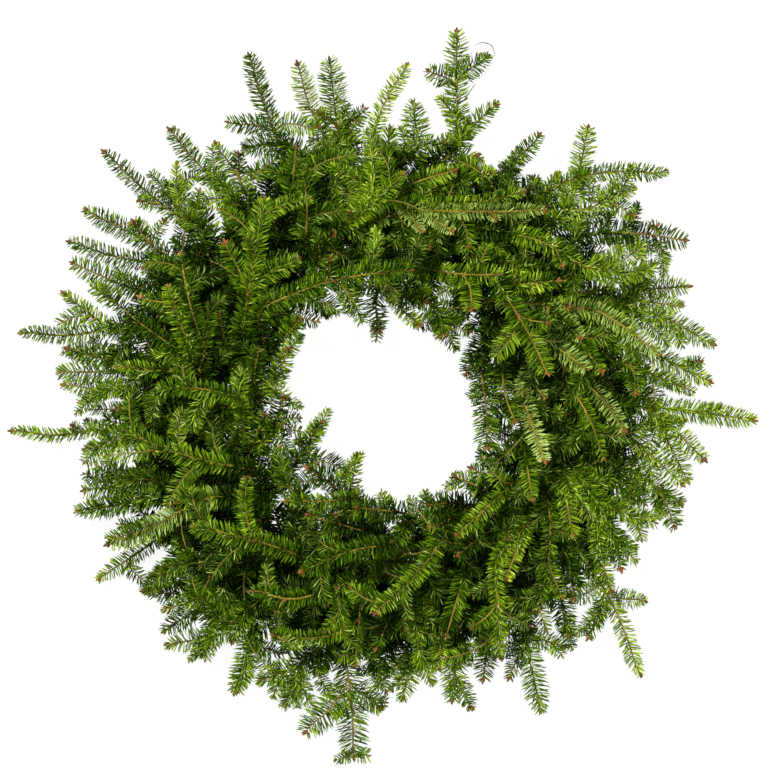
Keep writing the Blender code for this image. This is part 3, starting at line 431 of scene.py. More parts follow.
# Each spray: name, layer from 0 at the back to 3 in front, pixel where it comes into view,
# pixel of its tip, sideways bow in pixels, and its side shoots as (share along it, tip pixel)
Spray = namedtuple("Spray", "name layer start tip bow sides", defaults=(0, ()))
SPRAYS = (
    # Upper left
    ("a1", 1, (200, 230), (103, 151), 4, ((0.40, (133, 200)), (0.15, (163, 182)))),
    ("a2", 1, (215, 178), (168, 128), 3),
    ("b1", 1, (288, 160), (248, 53), -3, ((0.30, (226, 121)), (0.30, (320, 126)))),
    ("b2", 0, (275, 143), (242, 147)),
    ("b4", 0, (316, 120), (297, 62), 2),
    ("b5", 1, (346, 185), (329, 57), -3, ((0.50, (316, 110)), (0.50, (362, 116)))),
    ("b6", 2, (247, 198), (214, 141), -3, ((0.35, (238, 146)),)),
    ("b7", 3, (375, 130), (408, 63), 3),
    ("b8", 2, (368, 190), (372, 146)),
    ("b9", 1, (385, 165), (391, 128)),
    ("b12", 2, (304, 248), (302, 158), -4),
    ("b13", 2, (292, 190), (296, 147)),
    # Top and upper right
    ("c1", 1, (460, 140), (457, 29), 2, ((0.56, (425, 68)), (0.56, (489, 54)))),
    ("c4", 1, (462, 135), (497, 103)),
    ("c5", 2, (497, 195), (541, 133), 4),
    ("c6", 1, (578, 180), (589, 124)),
    ("c7", 3, (455, 205), (528, 192), -3),
    ("c7b", 3, (420, 210), (545, 211), 4, ((0.62, (502, 228)),)),
    ("c8", 2, (535, 197), (667, 171), -6),
    ("c9", 1, (417, 140), (413, 100)),
    ("c10", 3, (400, 190), (459, 169), 2),
    ("c11", 3, (382, 196), (405, 173)),
    ("c12", 2, (450, 178), (478, 155)),
    ("c13", 2, (462, 176), (498, 172)),
    ("d2", 2, (596, 206), (635, 188), 0, ((0.30, (640, 220)),)),
    ("d3", 1, (605, 232), (688, 240), 2, ((0.60, (663, 220)), (0.65, (668, 256)))),
    ("d5", 1, (635, 290), (690, 286)),
    ("d6", 0, (635, 300), (682, 306)),
    ("d7", 2, (575, 240), (581, 212)),
    # Left
    ("e1", 1, (175, 262), (84, 209), -3, ((0.30, (130, 217)), (0.30, (165, 218)))),
    ("e2", 1, (150, 262), (67, 241), 3),
    ("e3", 0, (120, 284), (70, 262)),
    ("e4", 3, (180, 350), (97, 285), 3),
    ("e5", 1, (110, 330), (63, 293)),
    ("e6", 0, (110, 326), (19, 333), 6),
    ("e7", 1, (130, 366), (66, 348)),
    ("e8", 0, (112, 372), (57, 372)),
    ("e9", 1, (120, 388), (62, 385), 2),
    ("e10", 2, (160, 278), (140, 266)),
    ("e11", 3, (205, 345), (180, 251), 3),
    ("e12", 3, (192, 355), (168, 283), 0, ((0.75, (140, 297)),)),
    ("e13", 2, (165, 371), (113, 366)),
    ("e14", 3, (230, 395), (150, 388), -4),
    ("f1", 0, (90, 430), (10, 431), -3, ((0.10, (65, 422)),)),
    ("f2", 1, (120, 443), (84, 450)),
    ("f3", 2, (150, 412), (118, 409)),
    ("f4", 3, (246, 468), (120, 430), 5, ((0.75, (147, 457)),)),
    ("f5", 1, (140, 480), (83, 491), 2),
    ("f6", 1, (147, 498), (76, 511), 2),
    ("f7", 1, (165, 520), (106, 545), 2),
    ("f8", 0, (142, 550), (97, 580)),
    ("f9", 1, (190, 596), (145, 592)),
    ("f10", 2, (180, 566), (148, 578)),
    ("f13", 3, (225, 497), (176, 503)),
    # Inner edge on the left and above the hole
    ("g1", 3, (264, 308), (418, 270), 9, ((0.45, (333, 250)), (0.50, (355, 320)))),
    ("g2", 3, (243, 328), (266, 195), 0, ((0.28, (226, 243)), (0.30, (301, 258)))),
    ("g3", 2, (278, 378), (291, 343)),
    ("g4", 3, (278, 345), (307, 313)),
    ("g5", 2, (278, 415), (288, 388)),
    ("g6", 1, (262, 428), (268, 406)),
    ("g8", 2, (226, 350), (219, 306)),
    ("g9", 3, (320, 248), (342, 229)),
    ("g10", 1, (378, 292), (380, 335), -3),
    ("g13", 3, (253, 380), (262, 340)),
    ("h1", 3, (405, 208), (426, 238)),
    ("h2", 3, (424, 214), (460, 237)),
    ("h3", 3, (408, 240), (438, 250)),
    ("h4", 2, (446, 244), (477, 248)),
    ("h5", 3, (425, 268), (508, 276), -3, ((0.55, (473, 320)),)),
    ("h6", 3, (497, 285), (549, 378), 3, ((0.41, (557, 326)), (0.41, (493, 362)))),
    ("h7", 3, (505, 232), (590, 270), 5, ((0.62, (566, 276)),)),
    ("h8", 3, (520, 285), (560, 281)),
    ("h9", 2, (545, 303), (572, 308)),
    ("h10", 3, (560, 318), (585, 343)),
    ("h11", 3, (553, 345), (591, 373)),
    ("h12", 3, (530, 378), (548, 405)),
    ("h13", 2, (398, 305), (425, 332)),
    ("h14", 2, (410, 288), (432, 308)),
    ("h15", 2, (438, 312), (445, 345)),
    # Right
    ("h16", 1, (474, 356), (462, 381)),
    ("h17", 2, (503, 365), (516, 431), -4),
    ("h18", 3, (523, 400), (545, 464)),
    ("h19", 3, (568, 385), (604, 459), 4),
    ("h20", 1, (478, 360), (487, 455), 3),
    ("h21", 3, (580, 380), (627, 434), 4),
    ("i1", 1, (640, 308), (714, 344), 2),
    ("i2", 3, (600, 312), (660, 355), 2),
    ("i3", 3, (582, 345), (605, 378)),
    ("i4", 2, (610, 360), (684, 388), 2, ((0.30, (636, 402)),)),
    ("i5", 1, (660, 357), (711, 382), 0, ((0.45, (708, 360)),)),
    ("i6", 1, (680, 410), (756, 420)),
    ("i7", 3, (640, 425), (686, 421)),
    ("i8", 1, (670, 425), (705, 460)),
    ("i9", 1, (665, 435), (688, 482)),
    ("i10", 2, (640, 445), (683, 485)),
    ("i11", 1, (630, 470), (683, 504), 0, ((0.60, (678, 532)),)),
    ("i12", 2, (603, 503), (641, 520)),
    # Lower left and inner edge below the hole
    ("j1", 3, (305, 558), (190, 525), -4, ((0.50, (246, 469)), (0.50, (205, 580)))),
    ("j2", 2, (300, 455), (326, 415)),
    ("j3", 2, (350, 495), (357, 452)),
    ("j4", 2, (345, 495), (302, 463)),
    ("j5", 3, (345, 498), (282, 500), 2),
    ("j6", 3, (370, 533), (303, 512), 0, ((0.50, (330, 505)), (0.50, (315, 540)))),
    ("j8", 3, (385, 545), (300, 571), -5),
    ("j9", 3, (322, 590), (250, 590), 8, ((0.60, (272, 618)),)),
    ("j10", 2, (355, 577), (330, 592)),
    ("j14", 2, (345, 603), (325, 632)),
    ("j15", 1, (400, 512), (350, 506)),
    # Lower right and bottom
    ("k1", 3, (497, 497), (453, 537)),
    ("k2", 3, (440, 540), (373, 614), 5),
    ("k3", 2, (484, 533), (450, 560)),
    ("k4", 2, (460, 521), (420, 527)),
    ("k5", 1, (452, 503), (420, 505)),
    ("k6", 0, (490, 492), (452, 475)),
    ("k7", 1, (496, 480), (470, 468)),
    ("k9", 3, (525, 455), (532, 502)),
    ("k10", 2, (513, 500), (507, 546)),
    ("k11", 3, (547, 497), (538, 611), 6, ((0.60, (562, 600)),)),
    ("k12", 3, (565, 490), (573, 540)),
    ("k13", 3, (464, 575), (446, 636)),
    ("k14", 3, (495, 570), (500, 662), 0, ((0.38, (465, 633)), (0.38, (535, 630)))),
    ("k16", 2, (555, 423), (549, 455)),
    ("k17", 2, (580, 468), (605, 495)),
    ("k18", 2, (520, 540), (503, 585)),
    ("l2", 1, (192, 612), (163, 632)),
    ("l3", 1, (208, 638), (167, 645)),
    ("l4", 1, (212, 622), (200, 658)),
    ("l5", 1, (248, 645), (234, 694), 2),
    ("l6", 1, (295, 668), (258, 681)),
    ("l7", 1, (302, 662), (287, 700)),
    ("l9", 1, (244, 615), (232, 643)),
    ("l10", 2, (228, 578), (217, 600)),
    ("l12", 1, (322, 645), (315, 675)),
    ("l13", 1, (192, 600), (164, 610)),
    ("l14", 1, (343, 650), (354, 760), 3, ((0.30, (303, 735)), (0.30, (380, 710)))),
    ("m1", 2, (362, 588), (355, 668), 0, ((0.45, (265, 636)), (0.45, (373, 652)))),
    ("m2", 3, (393, 610), (376, 648)),
    ("m3", 3, (420, 575), (428, 630)),
    ("m4", 2, (415, 620), (420, 658)),
    ("m5", 3, (413, 578), (404, 630)),
    ("m6", 1, (415, 655), (402, 700)),
    ("m7", 1, (440, 635), (440, 670)),
    ("m8", 1, (456, 635), (452, 702), 0, ((0.62, (472, 710)),)),
    ("m9", 1, (488, 648), (483, 682)),
    ("m10", 1, (527, 645), (541, 712)),
    ("m11", 2, (522, 648), (508, 680)),
    ("n1", 2, (577, 550), (641, 675), -2, ((0.37, (585, 644)), (0.37, (650, 603)))),
    ("n2", 3, (590, 513), (637, 562)),
    ("n3", 2, (614, 540), (621, 570)),
    ("n4", 1, (562, 603), (569, 637)),
    ("n5", 1, (530, 636), (567, 648)),
    ("n6", 2, (570, 572), (574, 600)),
    ("n7", 2, (598, 548), (611, 592)),
)

# Short twigs between the sprays: pixel of the start, pixel of the tip, and how far the tip lies
# above its start. The first ones hang low, the last ones stand up so that their tips face front.
SPRIGS = (
    ((215, 228), (199, 190), -0.010), ((228, 214), (193, 204), -0.015), ((610, 288), (655, 263), -0.010),
    ((600, 266), (642, 246), -0.010), ((620, 303), (652, 282), -0.010), ((262, 326), (318, 322), -0.010),
    ((288, 306), (338, 312), -0.018), ((338, 290), (362, 322), -0.012), ((440, 300), (470, 332), -0.010),
    ((452, 288), (456, 318), -0.012), ((262, 441), (302, 432), -0.006), ((298, 664), (312, 706), -0.004),
    ((330, 662), (334, 700), -0.006), ((216, 630), (190, 660), -0.004), ((508, 470), (483, 458), -0.006),
    ((608, 508), (656, 523), -0.006), ((205, 222), (183, 182), -0.012), ((128, 300), (92, 286), -0.006),
    ((128, 408), (90, 410), -0.006), ((150, 470), (96, 466), -0.006), ((454, 284), (429, 303), -0.012),
    ((588, 264), (622, 249), -0.014), ((598, 278), (650, 270), -0.012), ((582, 232), (612, 214), -0.012),
    ((588, 204), (614, 184), -0.010), ((226, 206), (197, 178), -0.010), ((152, 286), (116, 268), -0.006),
    ((132, 352), (90, 338), -0.006), ((152, 462), (110, 455), -0.006), ((630, 500), (664, 514), -0.006),
    ((120, 430), (84, 421), -0.006), ((618, 246), (652, 250), -0.010), ((188, 566), (150, 592), -0.004),
    ((288, 660), (274, 696), -0.004), ((372, 640), (378, 690), -0.004), ((352, 700), (330, 716), -0.004),
    ((545, 212), (532, 178), -0.010), ((560, 206), (556, 176), -0.010), ((600, 190), (632, 168), -0.004),
    ((640, 262), (668, 262), -0.008), ((650, 366), (694, 392), -0.008), ((604, 486), (646, 504), -0.008),
    ((300, 452), (328, 411), -0.004), ((286, 360), (302, 336), -0.006), ((440, 302), (455, 348), -0.004),
    ((345, 492), (361, 455), 0.002), ((400, 520), (380, 494), -0.006), ((430, 524), (410, 498), -0.006),
    ((355, 150), (366, 108), -0.006), ((205, 215), (176, 164), -0.006), ((545, 212), (558, 174), -0.006),
    ((585, 200), (578, 172), -0.006), ((612, 240), (645, 262), -0.004), ((620, 222), (638, 204), -0.006),
    ((130, 395), (80, 402), -0.004), ((135, 455), (86, 462), -0.004), ((140, 505), (88, 508), -0.004),
    ((150, 520), (110, 538), -0.004), ((182, 580), (144, 590), -0.004), ((250, 650), (238, 692), -0.002),
    ((372, 680), (386, 704), -0.002), ((396, 650), (392, 690), -0.004), ((548, 600), (546, 628), -0.004),
    ((545, 640), (562, 656), -0.004), ((560, 610), (572, 648), -0.004), ((690, 420), (722, 408), -0.002),
    ((280, 630), (300, 645), -0.006), ((645, 322), (684, 346), -0.004), ((232, 190), (212, 146), -0.006),
    ((458, 128), (440, 98), -0.002), ((612, 520), (634, 548), -0.004), ((225, 630), (205, 660), -0.002),
    ((295, 680), (284, 706), -0.002), ((130, 472), (84, 474), -0.004), ((105, 352), (62, 352), -0.004),
    ((445, 520), (424, 492), -0.004), ((276, 424), (300, 418), -0.004), ((492, 366), (471, 398), -0.006),
    ((505, 190), (487, 168), -0.004), ((515, 180), (522, 150), -0.004), ((352, 746), (335, 762), 0.001),
    ((354, 748), (369, 757), 0.001), ((640, 318), (668, 344), -0.004), ((596, 262), (614, 282), -0.006),
    ((648, 262), (664, 274), -0.004), ((180, 196), (198, 174), -0.006), ((262, 632), (284, 654), -0.004),
    ((622, 520), (642, 540), -0.004), ((385, 310), (376, 340), -0.006), ((425, 312), (440, 338), -0.006),
    ((284, 392), (300, 407), -0.004), ((300, 452), (318, 463), -0.004), ((462, 492), (446, 488), -0.004),
    ((130, 560), (146, 584), -0.002), ((324, 164), (310, 137), -0.006), ((282, 194), (268, 171), -0.006),
    ((588, 228), (612, 215), -0.006), ((598, 254), (622, 246), -0.008), ((612, 278), (642, 266), -0.008),
    ((142, 463), (106, 459), -0.006), ((270, 440), (291, 452), -0.004), ((120, 402), (76, 413), -0.004),
    ((100, 316), (58, 324), -0.002), ((158, 520), (118, 524), -0.004), ((468, 630), (470, 664), -0.002),
    ((590, 594), (577, 634), -0.002), ((638, 494), (662, 514), -0.002), ((428, 640), (432, 682), -0.002),
    ((382, 664), (386, 692), -0.002), ((300, 670), (297, 706), -0.002), ((352, 142), (348, 103), -0.004),
    ((394, 160), (401, 128), -0.004), ((455, 152), (469, 122), -0.004), ((190, 200), (150, 172), -0.006),
    ((432, 200), (444, 195), 0.022), ((434, 152), (443, 143), 0.022), ((400, 152), (410, 147), 0.020),
    ((452, 190), (464, 186), 0.020), ((610, 268), (620, 275), 0.022), ((268, 524), (257, 520), 0.022),
    ((505, 466), (497, 473), 0.020), ((370, 594), (361, 600), 0.022), ((228, 488), (220, 483), 0.020),
    ((334, 240), (339, 231), 0.018), ((345, 220), (351, 212), 0.018), ((225, 222), (223, 211), 0.018),
    ((247, 252), (246, 240), 0.018), ((260, 440), (257, 430), 0.018), ((272, 450), (264, 443), 0.018),
    ((284, 436), (283, 426), 0.016), ((292, 446), (297, 438), 0.016),
)


def polar(radius, angle, height):
    """A point by its distance from the ring's centre and its clock angle."""
    x = RING_X + radius * math.sin(angle)
    y = RING_Y + radius * math.cos(angle)
    return Vector((x, y, height))


def forwards(angle):
    """Direction along the ring, clockwise, at this clock angle."""
    return Vector((math.cos(angle), -math.sin(angle), 0.0))


def from_pixel(pixel):
    x = RING_X + (pixel[0] - RING_COLUMN) * PIXEL
    y = RING_Y - (pixel[1] - RING_ROW) * PIXEL
    return Vector((x, y, 0.0))


def ring_place(point):
    """Distance from the ring's centre and clock angle of a point."""
    x = point.x - RING_X
    y = point.y - RING_Y
    return math.hypot(x, y), math.atan2(x, y)


def wrapped(angle):
    return (angle + math.pi) % (2 * math.pi) - math.pi


def share_between(value, start, end):
    return min(max((value - start) / (end - start), 0.0), 1.0)


def smooth(share):
    share = min(max(share, 0.0), 1.0)
    return share * share * (3 - 2 * share)


# The sprays lie where the solids of their bunches lie, so they are laid in the same way


def winding_points():
    """The binding wire's path: one turn for each tie, under the rails between ties."""
    side = HALF_GAUGE + RAIL_WIRE / 2 + TURN_GAPS * CLEAR + BINDING_WIRE / 2
    beside = RAIL_HEIGHT + TURN_RISE
    under = RAIL_HEIGHT - RAIL_WIRE / 2 - CLEAR - BINDING_WIRE / 2
    over = BUNDLE_TOP + CLEAR + BINDING_WIRE / 2
    shoulder = STEM_PITCH * TURN_PITCHES
    bend = BINDING_WIRE
    # Share of the step to the next tie, place across the ring, and height
    turn = (
        (-TURN_OVER, -shoulder, over),
        (TURN_OVER, shoulder, over),
        (TURN_DOWN, side, beside),
        (TURN_UNDER, side - bend, under),
        (1 - TURN_UNDER, bend - side, under),
        (1 - TURN_DOWN, -side, beside),
    )
    points = []
    for tie in range(BUNCHES):
        for share, across, height in turn:
            points.append(polar(MID_RADIUS + across, (tie + share) * TIE_STEP, height))
    return points[:-1]


def bundle_place(index):
    """Place across the ring, and height, of one main stem of a tie."""
    row = 0
    while index >= ROWS[row]:
        index -= ROWS[row]
        row += 1
    across = (index - (ROWS[row] - 1) / 2) * STEM_PITCH
    return across, LOWEST_STEM + row * ROW_HEIGHT


def rise(point, tie):
    """Height that a stem of this tie has gained at a point: bunches lie like shingles."""
    radius, angle = ring_place(point)
    ahead = wrapped(angle - tie * TIE_STEP) * MID_RADIUS
    outside = share_between(radius, *OUTSIDE)
    inside = share_between(radius, *INSIDE)
    slope = STEEPEST - EASED_OUTSIDE * outside - EASED_INSIDE * inside
    climb = max(ahead - CLIMB_START, 0.0)
    steady = min(climb, CLIMB_END) + LEVEL_SHARE * max(climb - CLIMB_END, 0.0)
    out_of_groove = GROOVE_STEP * smooth((ahead - GROOVE_EDGE) / GROOVE_EDGE)
    return out_of_groove + slope * steady


def bezier(p0, p1, p2, p3, share):
    rest = 1 - share
    return (
        p0 * rest**3
        + p1 * 3 * rest**2 * share
        + p2 * 3 * rest * share**2
        + p3 * share**3
    )


def flat(point):
    return Vector((point.x, point.y, 0.0))


def sideways(line):
    """Level direction to the left of a line."""
    return Vector((-line.y, line.x, 0.0)).normalized()


def bowed(start, tip, bow, share):
    """A point on the line from start to tip, pushed sideways by the bow."""
    line = tip - start
    return start + line * share + sideways(line) * bow * PIXEL * 4 * share * (1 - share)


def bent(root, bend, tip):
    """Shares and points along a curve from root to tip, which leaves the root towards the bend."""
    for i in range(SIDE_PARTS + 1):
        share = i / SIDE_PARTS
        yield share, root * (1 - share) ** 2 + bend * 2 * share * (1 - share) + tip * share**2


def sort_by_tie():
    """The sprays of each tie, which lies behind where they come into view."""
    tied = [[] for _ in range(BUNCHES)]
    for row in SPRAYS:
        spray = Spray(*row)
        angle = ring_place(from_pixel(spray.start))[1] - REACH[spray.layer] / MID_RADIUS
        wanted = angle / TIE_STEP
        near = sorted(range(BUNCHES), key=lambda tie: abs(wrapped((tie - wanted) * TIE_STEP)))
        tie = next(tie for tie in near if len(tied[tie]) < MOST_AT_TIE)
        tied[tie].append(spray)
    return tied


def pick_main(sprays):
    """Splits a tie's sprays into main stems, spread from the hole outwards, and the rest."""
    order = sorted(sprays, key=lambda spray: ring_place(from_pixel(spray.start))[0])
    count = min(sum(ROWS), len(order))
    chosen = {round(i * (len(order) - 1) / max(count - 1, 1)) for i in range(count)}
    main = [order[i] for i in sorted(chosen)]
    rest = [spray for spray in order if spray not in main]
    return main, rest


@dataclass
class Twig:
    """One twig as it is drawn.

    Its needles start past its bare stretch, and its last stretch is shown, over the others.
    """

    tie: int
    name: str
    path: list
    bare: float
    kind: int
    shown: float = 0.0
    front: bool = False


def stations(length, first):
    """Distances along a shoot of the solid's needle whorls."""
    last = length - LAST_WHORL
    if last - first < WHORL * 2:
        return [last]
    count = max(2, 1 + round((last - first) / WHORL_STEP))
    return [first + (last - first) * i / (count - 1) for i in range(count)]


def along(points):
    """Distance from the first point to each point."""
    total = [0.0]
    for before, after in zip(points, points[1:]):
        total.append(total[-1] + (after - before).length)
    return total


def at_distance(points, total, distance):
    index = 0
    while index < len(total) - 2 and total[index + 1] < distance:
        index += 1
    share = (distance - total[index]) / max(total[index + 1] - total[index], TINY)
    return points[index].lerp(points[index + 1], share)


def solid_stem(head, head_radii, visible, first, radius):
    """The line and radii of the solid that stands for this twig."""
    total = along(visible)
    line = list(head)
    radii = list(head_radii)
    for distance in stations(total[-1], first):
        thick = radius + (STEM_AT_TIP - radius) * distance / total[-1]
        for shift in (-WHORL / 2, WHORL / 2):
            line.append(at_distance(visible, total, distance + shift))
            radii.append(thick)
    return line, radii


def stem_end(start, tip_pixel):
    """Where a twig ends: its foremost needles reach on to the tip."""
    tip = from_pixel(tip_pixel)
    return tip - (tip - start).normalized() * NEEDLES_PAST_STEM


def lead_in(spray, root, leaving_root, tie, height, parts, lift):
    """A stem's hidden stretch from its root, and its visible stretch, with their heights."""
    start = from_pixel(spray.start)
    tip = stem_end(start, spray.tip)
    shares = [i / SPRAY_PARTS for i in range(SPRAY_PARTS + 1)]
    visible = [bowed(start, tip, spray.bow, share) for share in shares]
    leaving = (visible[1] - visible[0]).normalized()
    handle = min((start - flat(root)).length * LEAD_HANDLE, MID_RADIUS * TIE_STEP)
    ends = (flat(root) + leaving_root * handle, start - leaving * handle)
    hidden = [bezier(flat(root), *ends, start, i / parts) for i in range(parts)]
    far = along(hidden + visible)
    for distance, point in zip(far, hidden + visible):
        point.z = height + rise(point, tie) + lift * smooth(distance / far[parts])
    return hidden, visible


def tied_stem(spray, tie, slot, play, lift, parts=2):
    """A main stem: its cut end, its stretch through the tie, and its way into view."""
    angle = tie * TIE_STEP
    across, height = bundle_place(slot)
    across += play[0] * STEM_PLAY
    height += play[1] * STEM_PLAY
    behind = CUT_END * (1 + play[2] * CUT_PLAY) / MID_RADIUS
    ahead = GROOVE_EDGE / MID_RADIUS
    radius = MID_RADIUS + across + CHORD_SAG
    butt = polar(radius, angle - behind, height)
    leave = polar(radius, angle + ahead, 0.0)
    leaving = forwards(angle + ahead)
    hidden, visible = lead_in(spray, leave, leaving, tie, height, parts, lift)
    thick = STEM_AT_TIE * (1 + GIRTH_PLAY * play[0])
    return [butt, *hidden], [thick, thick, STEM_BELOW_SHOOT], visible


def forked_stem(spray, tie, parents, lift, parts=1):
    """A stem that forks from the hidden part of one of the tie's main stems."""
    start = from_pixel(spray.start)
    best = None
    for points in parents:
        total = along(points)
        for share in FORK_SHARES:
            root = at_distance(points, total, share * total[-1])
            ahead = at_distance(points, total, share * total[-1] + FORK_AHEAD)
            leaving = Vector((ahead.x - root.x, ahead.y - root.y, 0.0)).normalized()
            way = Vector((start.x - root.x, start.y - root.y, 0.0))
            turn = 1 - leaving.dot(way.normalized())
            cost = way.length * (1 + FORK_TURN_COST * turn)
            if way.length > FORK_LEAST and (best is None or cost < best[0]):
                best = (cost, root, leaving)
    _, root, leaving = best
    height = root.z - rise(root, tie)
    hidden, visible = lead_in(spray, root, leaving, tie, height, parts, lift)
    return hidden, [SUNK_STEM], visible


def side_stem(parent, length, share, tip_pixel, tie, height):
    """A side shoot's centre line, which starts on its parent's, within this last length."""
    total = along(parent)
    from_root = total[-1] - length * (1 - share)
    root = at_distance(parent, total, from_root)
    leaving = (at_distance(parent, total, from_root + FORK_AHEAD) - root).normalized()
    tip = stem_end(flat(root), tip_pixel)
    tip.z = root.z
    way = tip - root
    bend = root + (leaving + way.normalized()).normalized() * way.length * SIDE_BEND
    points = []
    for part, point in bent(root, bend, tip):
        climb = rise(point, tie) - rise(root, tie) + height * part * part
        point.z = max(root.z + climb, LOWEST_TIP)
        points.append(point)
    return points


def side_shoots(spray, stem, length, tie):
    """Tip pixel and line of each side shoot of a spray, by turns a little above and below it."""
    for order, (share, tip) in enumerate(spray.sides):
        height = -SIDE_LIFT if order % 2 else SIDE_LIFT
        yield tip, side_stem(stem, length, share + SIDE_SPACING * order, tip, tie, height)


def segment_gaps(a, b, starts, ends):
    """Distance from the segment a-b to each of many segments."""
    d1 = b - a
    d2 = ends - starts
    r = a - starts
    a1 = d1 @ d1
    e = np.einsum("ij,ij->i", d2, d2)
    f = np.einsum("ij,ij->i", d2, r)
    c = r @ d1
    cross = d2 @ d1
    bottom = np.maximum(a1 * e - cross * cross, PARALLEL)
    s = np.clip((cross * f - c * e) / bottom, 0.0, 1.0)
    t = (cross * s + f) / e
    t = np.clip(t, 0.0, 1.0)
    s = np.clip((cross * t - c) / a1, 0.0, 1.0)
    near = r + s[:, None] * d1 - t[:, None] * d2
    return np.sqrt(np.einsum("ij,ij->i", near, near))


class Crowd:
    """Every twig placed so far, as short thick segments, with their bunch."""

    def __init__(self):
        self.starts = np.zeros((0, 3))
        self.ends = np.zeros((0, 3))
        self.radii = np.zeros(0)
        self.bunches = np.zeros(0, int)

    def add(self, points, radii, bunch):
        points = np.array([tuple(point) for point in points])
        self.starts = np.vstack((self.starts, points[:-1]))
        self.ends = np.vstack((self.ends, points[1:]))
        thick = [max(pair) for pair in zip(radii, radii[1:])]
        self.radii = np.append(self.radii, thick)
        self.bunches = np.append(self.bunches, [bunch] * len(thick))

    def room(self, points, radii, others):
        """The least gap to those of the others that lie near; below 0 they would cross."""
        points = np.array([tuple(point) for point in points])
        low = points.min(axis=0) - NEARBY
        high = points.max(axis=0) + NEARBY
        near = others & np.all(
            (np.maximum(self.starts, self.ends) > low)
            & (np.minimum(self.starts, self.ends) < high),
            axis=1,
        )
        if not near.any():
            return 1.0
        starts, ends, thick = self.starts[near], self.ends[near], self.radii[near]
        least = 1.0
        for i in range(len(points) - 1):
            gaps = segment_gaps(points[i], points[i + 1], starts, ends) - thick
            least = min(least, gaps.min() - max(radii[i], radii[i + 1]))
        return least


def lay_spray(spray, tie, place, crowd, wander):
    """Where a spray lies: raised or lowered a little until no other bunch is touched."""
    best = None
    for attempt in range(LIFT_TRIES):
        lift = wander + LIFT_STEP * ((attempt + 1) // 2) * (1 if attempt % 2 else -1)
        head, head_radii, visible = place(lift)
        family = [solid_stem(head, head_radii, visible, FIRST_WHORL, STEM_AT_SHOOT)]
        stem = family[0][0]
        sides = side_shoots(spray, stem, along(visible)[-1], tie)
        for order, (_, side) in enumerate(sides):
            inward = (side[0] - side[1]).normalized()
            sunk = side[0] + inward * SUNK_STEM * (1 + SUNK_FURTHER * order)
            family.append(solid_stem([sunk], [SUNK_STEM], side, FIRST_SIDE_WHORL, SIDE_STEM))
        others = crowd.bunches != tie
        room = min(crowd.room(line, radii, others) for line, radii in family)
        if best is None or room > best[0]:
            best = (room, family, [*head[1:], visible[0]], lift)
        if room > LEAST_GAP:
            break
    for line, radii in best[1]:
        crowd.add(line, radii, tie)
    return best[2:]


def run_on(line, tip_pixel):
    """The drawn end of a twig, between the end of the solid's stem and the tip."""
    way = from_pixel(tip_pixel) - line[-1]
    way.z = (line[-1].z - line[-2].z) * way.length / (line[-1] - line[-2]).length
    return line[-1] + way.normalized() * DRAWN_FURTHER


def drawn(spray, tie, place, lift):
    """The twigs of a spray as they are drawn, on smooth fine lines."""
    head, _, visible = place(lift, HIDDEN_PARTS)
    bow = sideways(visible[-1] - visible[0]) * BENT_FURTHER.get(spray.name, 0) * PIXEL
    for index, point in enumerate(visible):
        share = index / SPRAY_PARTS
        point += bow * 4 * share * (1 - share)
    visible.append(run_on(visible, spray.tip))
    path = head + visible
    bare = along(head)[1] + BARE_AT_TIE
    shown = along(visible)[-1] - DRAWN_FURTHER
    front = spray.layer >= FRONT_LAYER
    twigs = [Twig(tie, spray.name, path, bare, MAIN_STEM, shown, front)]
    for tip, side in side_shoots(spray, path[:-1], shown, tie):
        side.append(run_on(side, tip))
        shown_side = along(side)[-1]
        twigs.append(Twig(tie, spray.name, side, BARE_AT_FORK, SIDE_SHOOT, shown_side, front))
    return twigs


def moved_to_fork(path, parents, parts):
    """Slides the hidden start of a forked stem onto the nearest stem of its tie."""
    root = path[0]
    nearest = min(
        (point for parent in parents for point in finely(parent)),
        key=lambda point: (point - root).length,
    )
    gap = nearest - root
    for index, point in enumerate(path[:parts]):
        point += gap * (1 - smooth(index / parts))


def finely(points):
    """The line that a twig is drawn on, in short steps."""
    total = along(points)
    count = max(2, round(total[-1] / LINE_STEP))
    return [at_distance(points, total, total[-1] * i / count) for i in range(count + 1)]


def lay_sprays(crowd):
    """Lays the main stems of every tie first, then what forks from them."""
    rng = random.Random(LAYING_SEED)
    twigs = []
    forks = []
    for tie, sprays in enumerate(sort_by_tie()):
        main_sprays, rest = pick_main(sprays)
        parents = []
        drawn_parents = []
        for slot, spray in enumerate(main_sprays):
            play = [rng.uniform(-1, 1) for _ in range(3)]
            place = partial(tied_stem, spray, tie, slot, play)
            wander = rng.uniform(-WANDER, WANDER)
            hidden, lift = lay_spray(spray, tie, place, crowd, wander)
            family = drawn(spray, tie, place, lift)
            parents.append(hidden)
            drawn_parents.append(family[0].path)
            twigs.extend(family)
        forks.extend((spray, tie, parents, drawn_parents) for spray in rest)
    for spray, tie, parents, drawn_parents in forks:
        place = partial(forked_stem, spray, tie, parents)
        wander = rng.uniform(-WANDER, WANDER)
        _, lift = lay_spray(spray, tie, place, crowd, wander)
        family = drawn(spray, tie, place, lift)
        moved_to_fork(family[0].path, drawn_parents, HIDDEN_PARTS)
        family[0].bare = BARE_AT_FORK
        twigs.extend(family)
    return twigs


def wires(route):
    """A crowd that holds only the winding and the rails."""
    crowd = Crowd()
    crowd.add(route, [BINDING_WIRE / 2] * len(route), -1)
    for radius in (OUTER_RAIL, INNER_RAIL):
        points = [polar(radius, TIE_STEP * i / 2, RAIL_HEIGHT) for i in range(2 * BUNCHES + 1)]
        crowd.add(points, [RAIL_WIRE / 2] * len(points), -1)
    return crowd


# Short and low twigs, which fill the gaps between the sprays and the depth under them


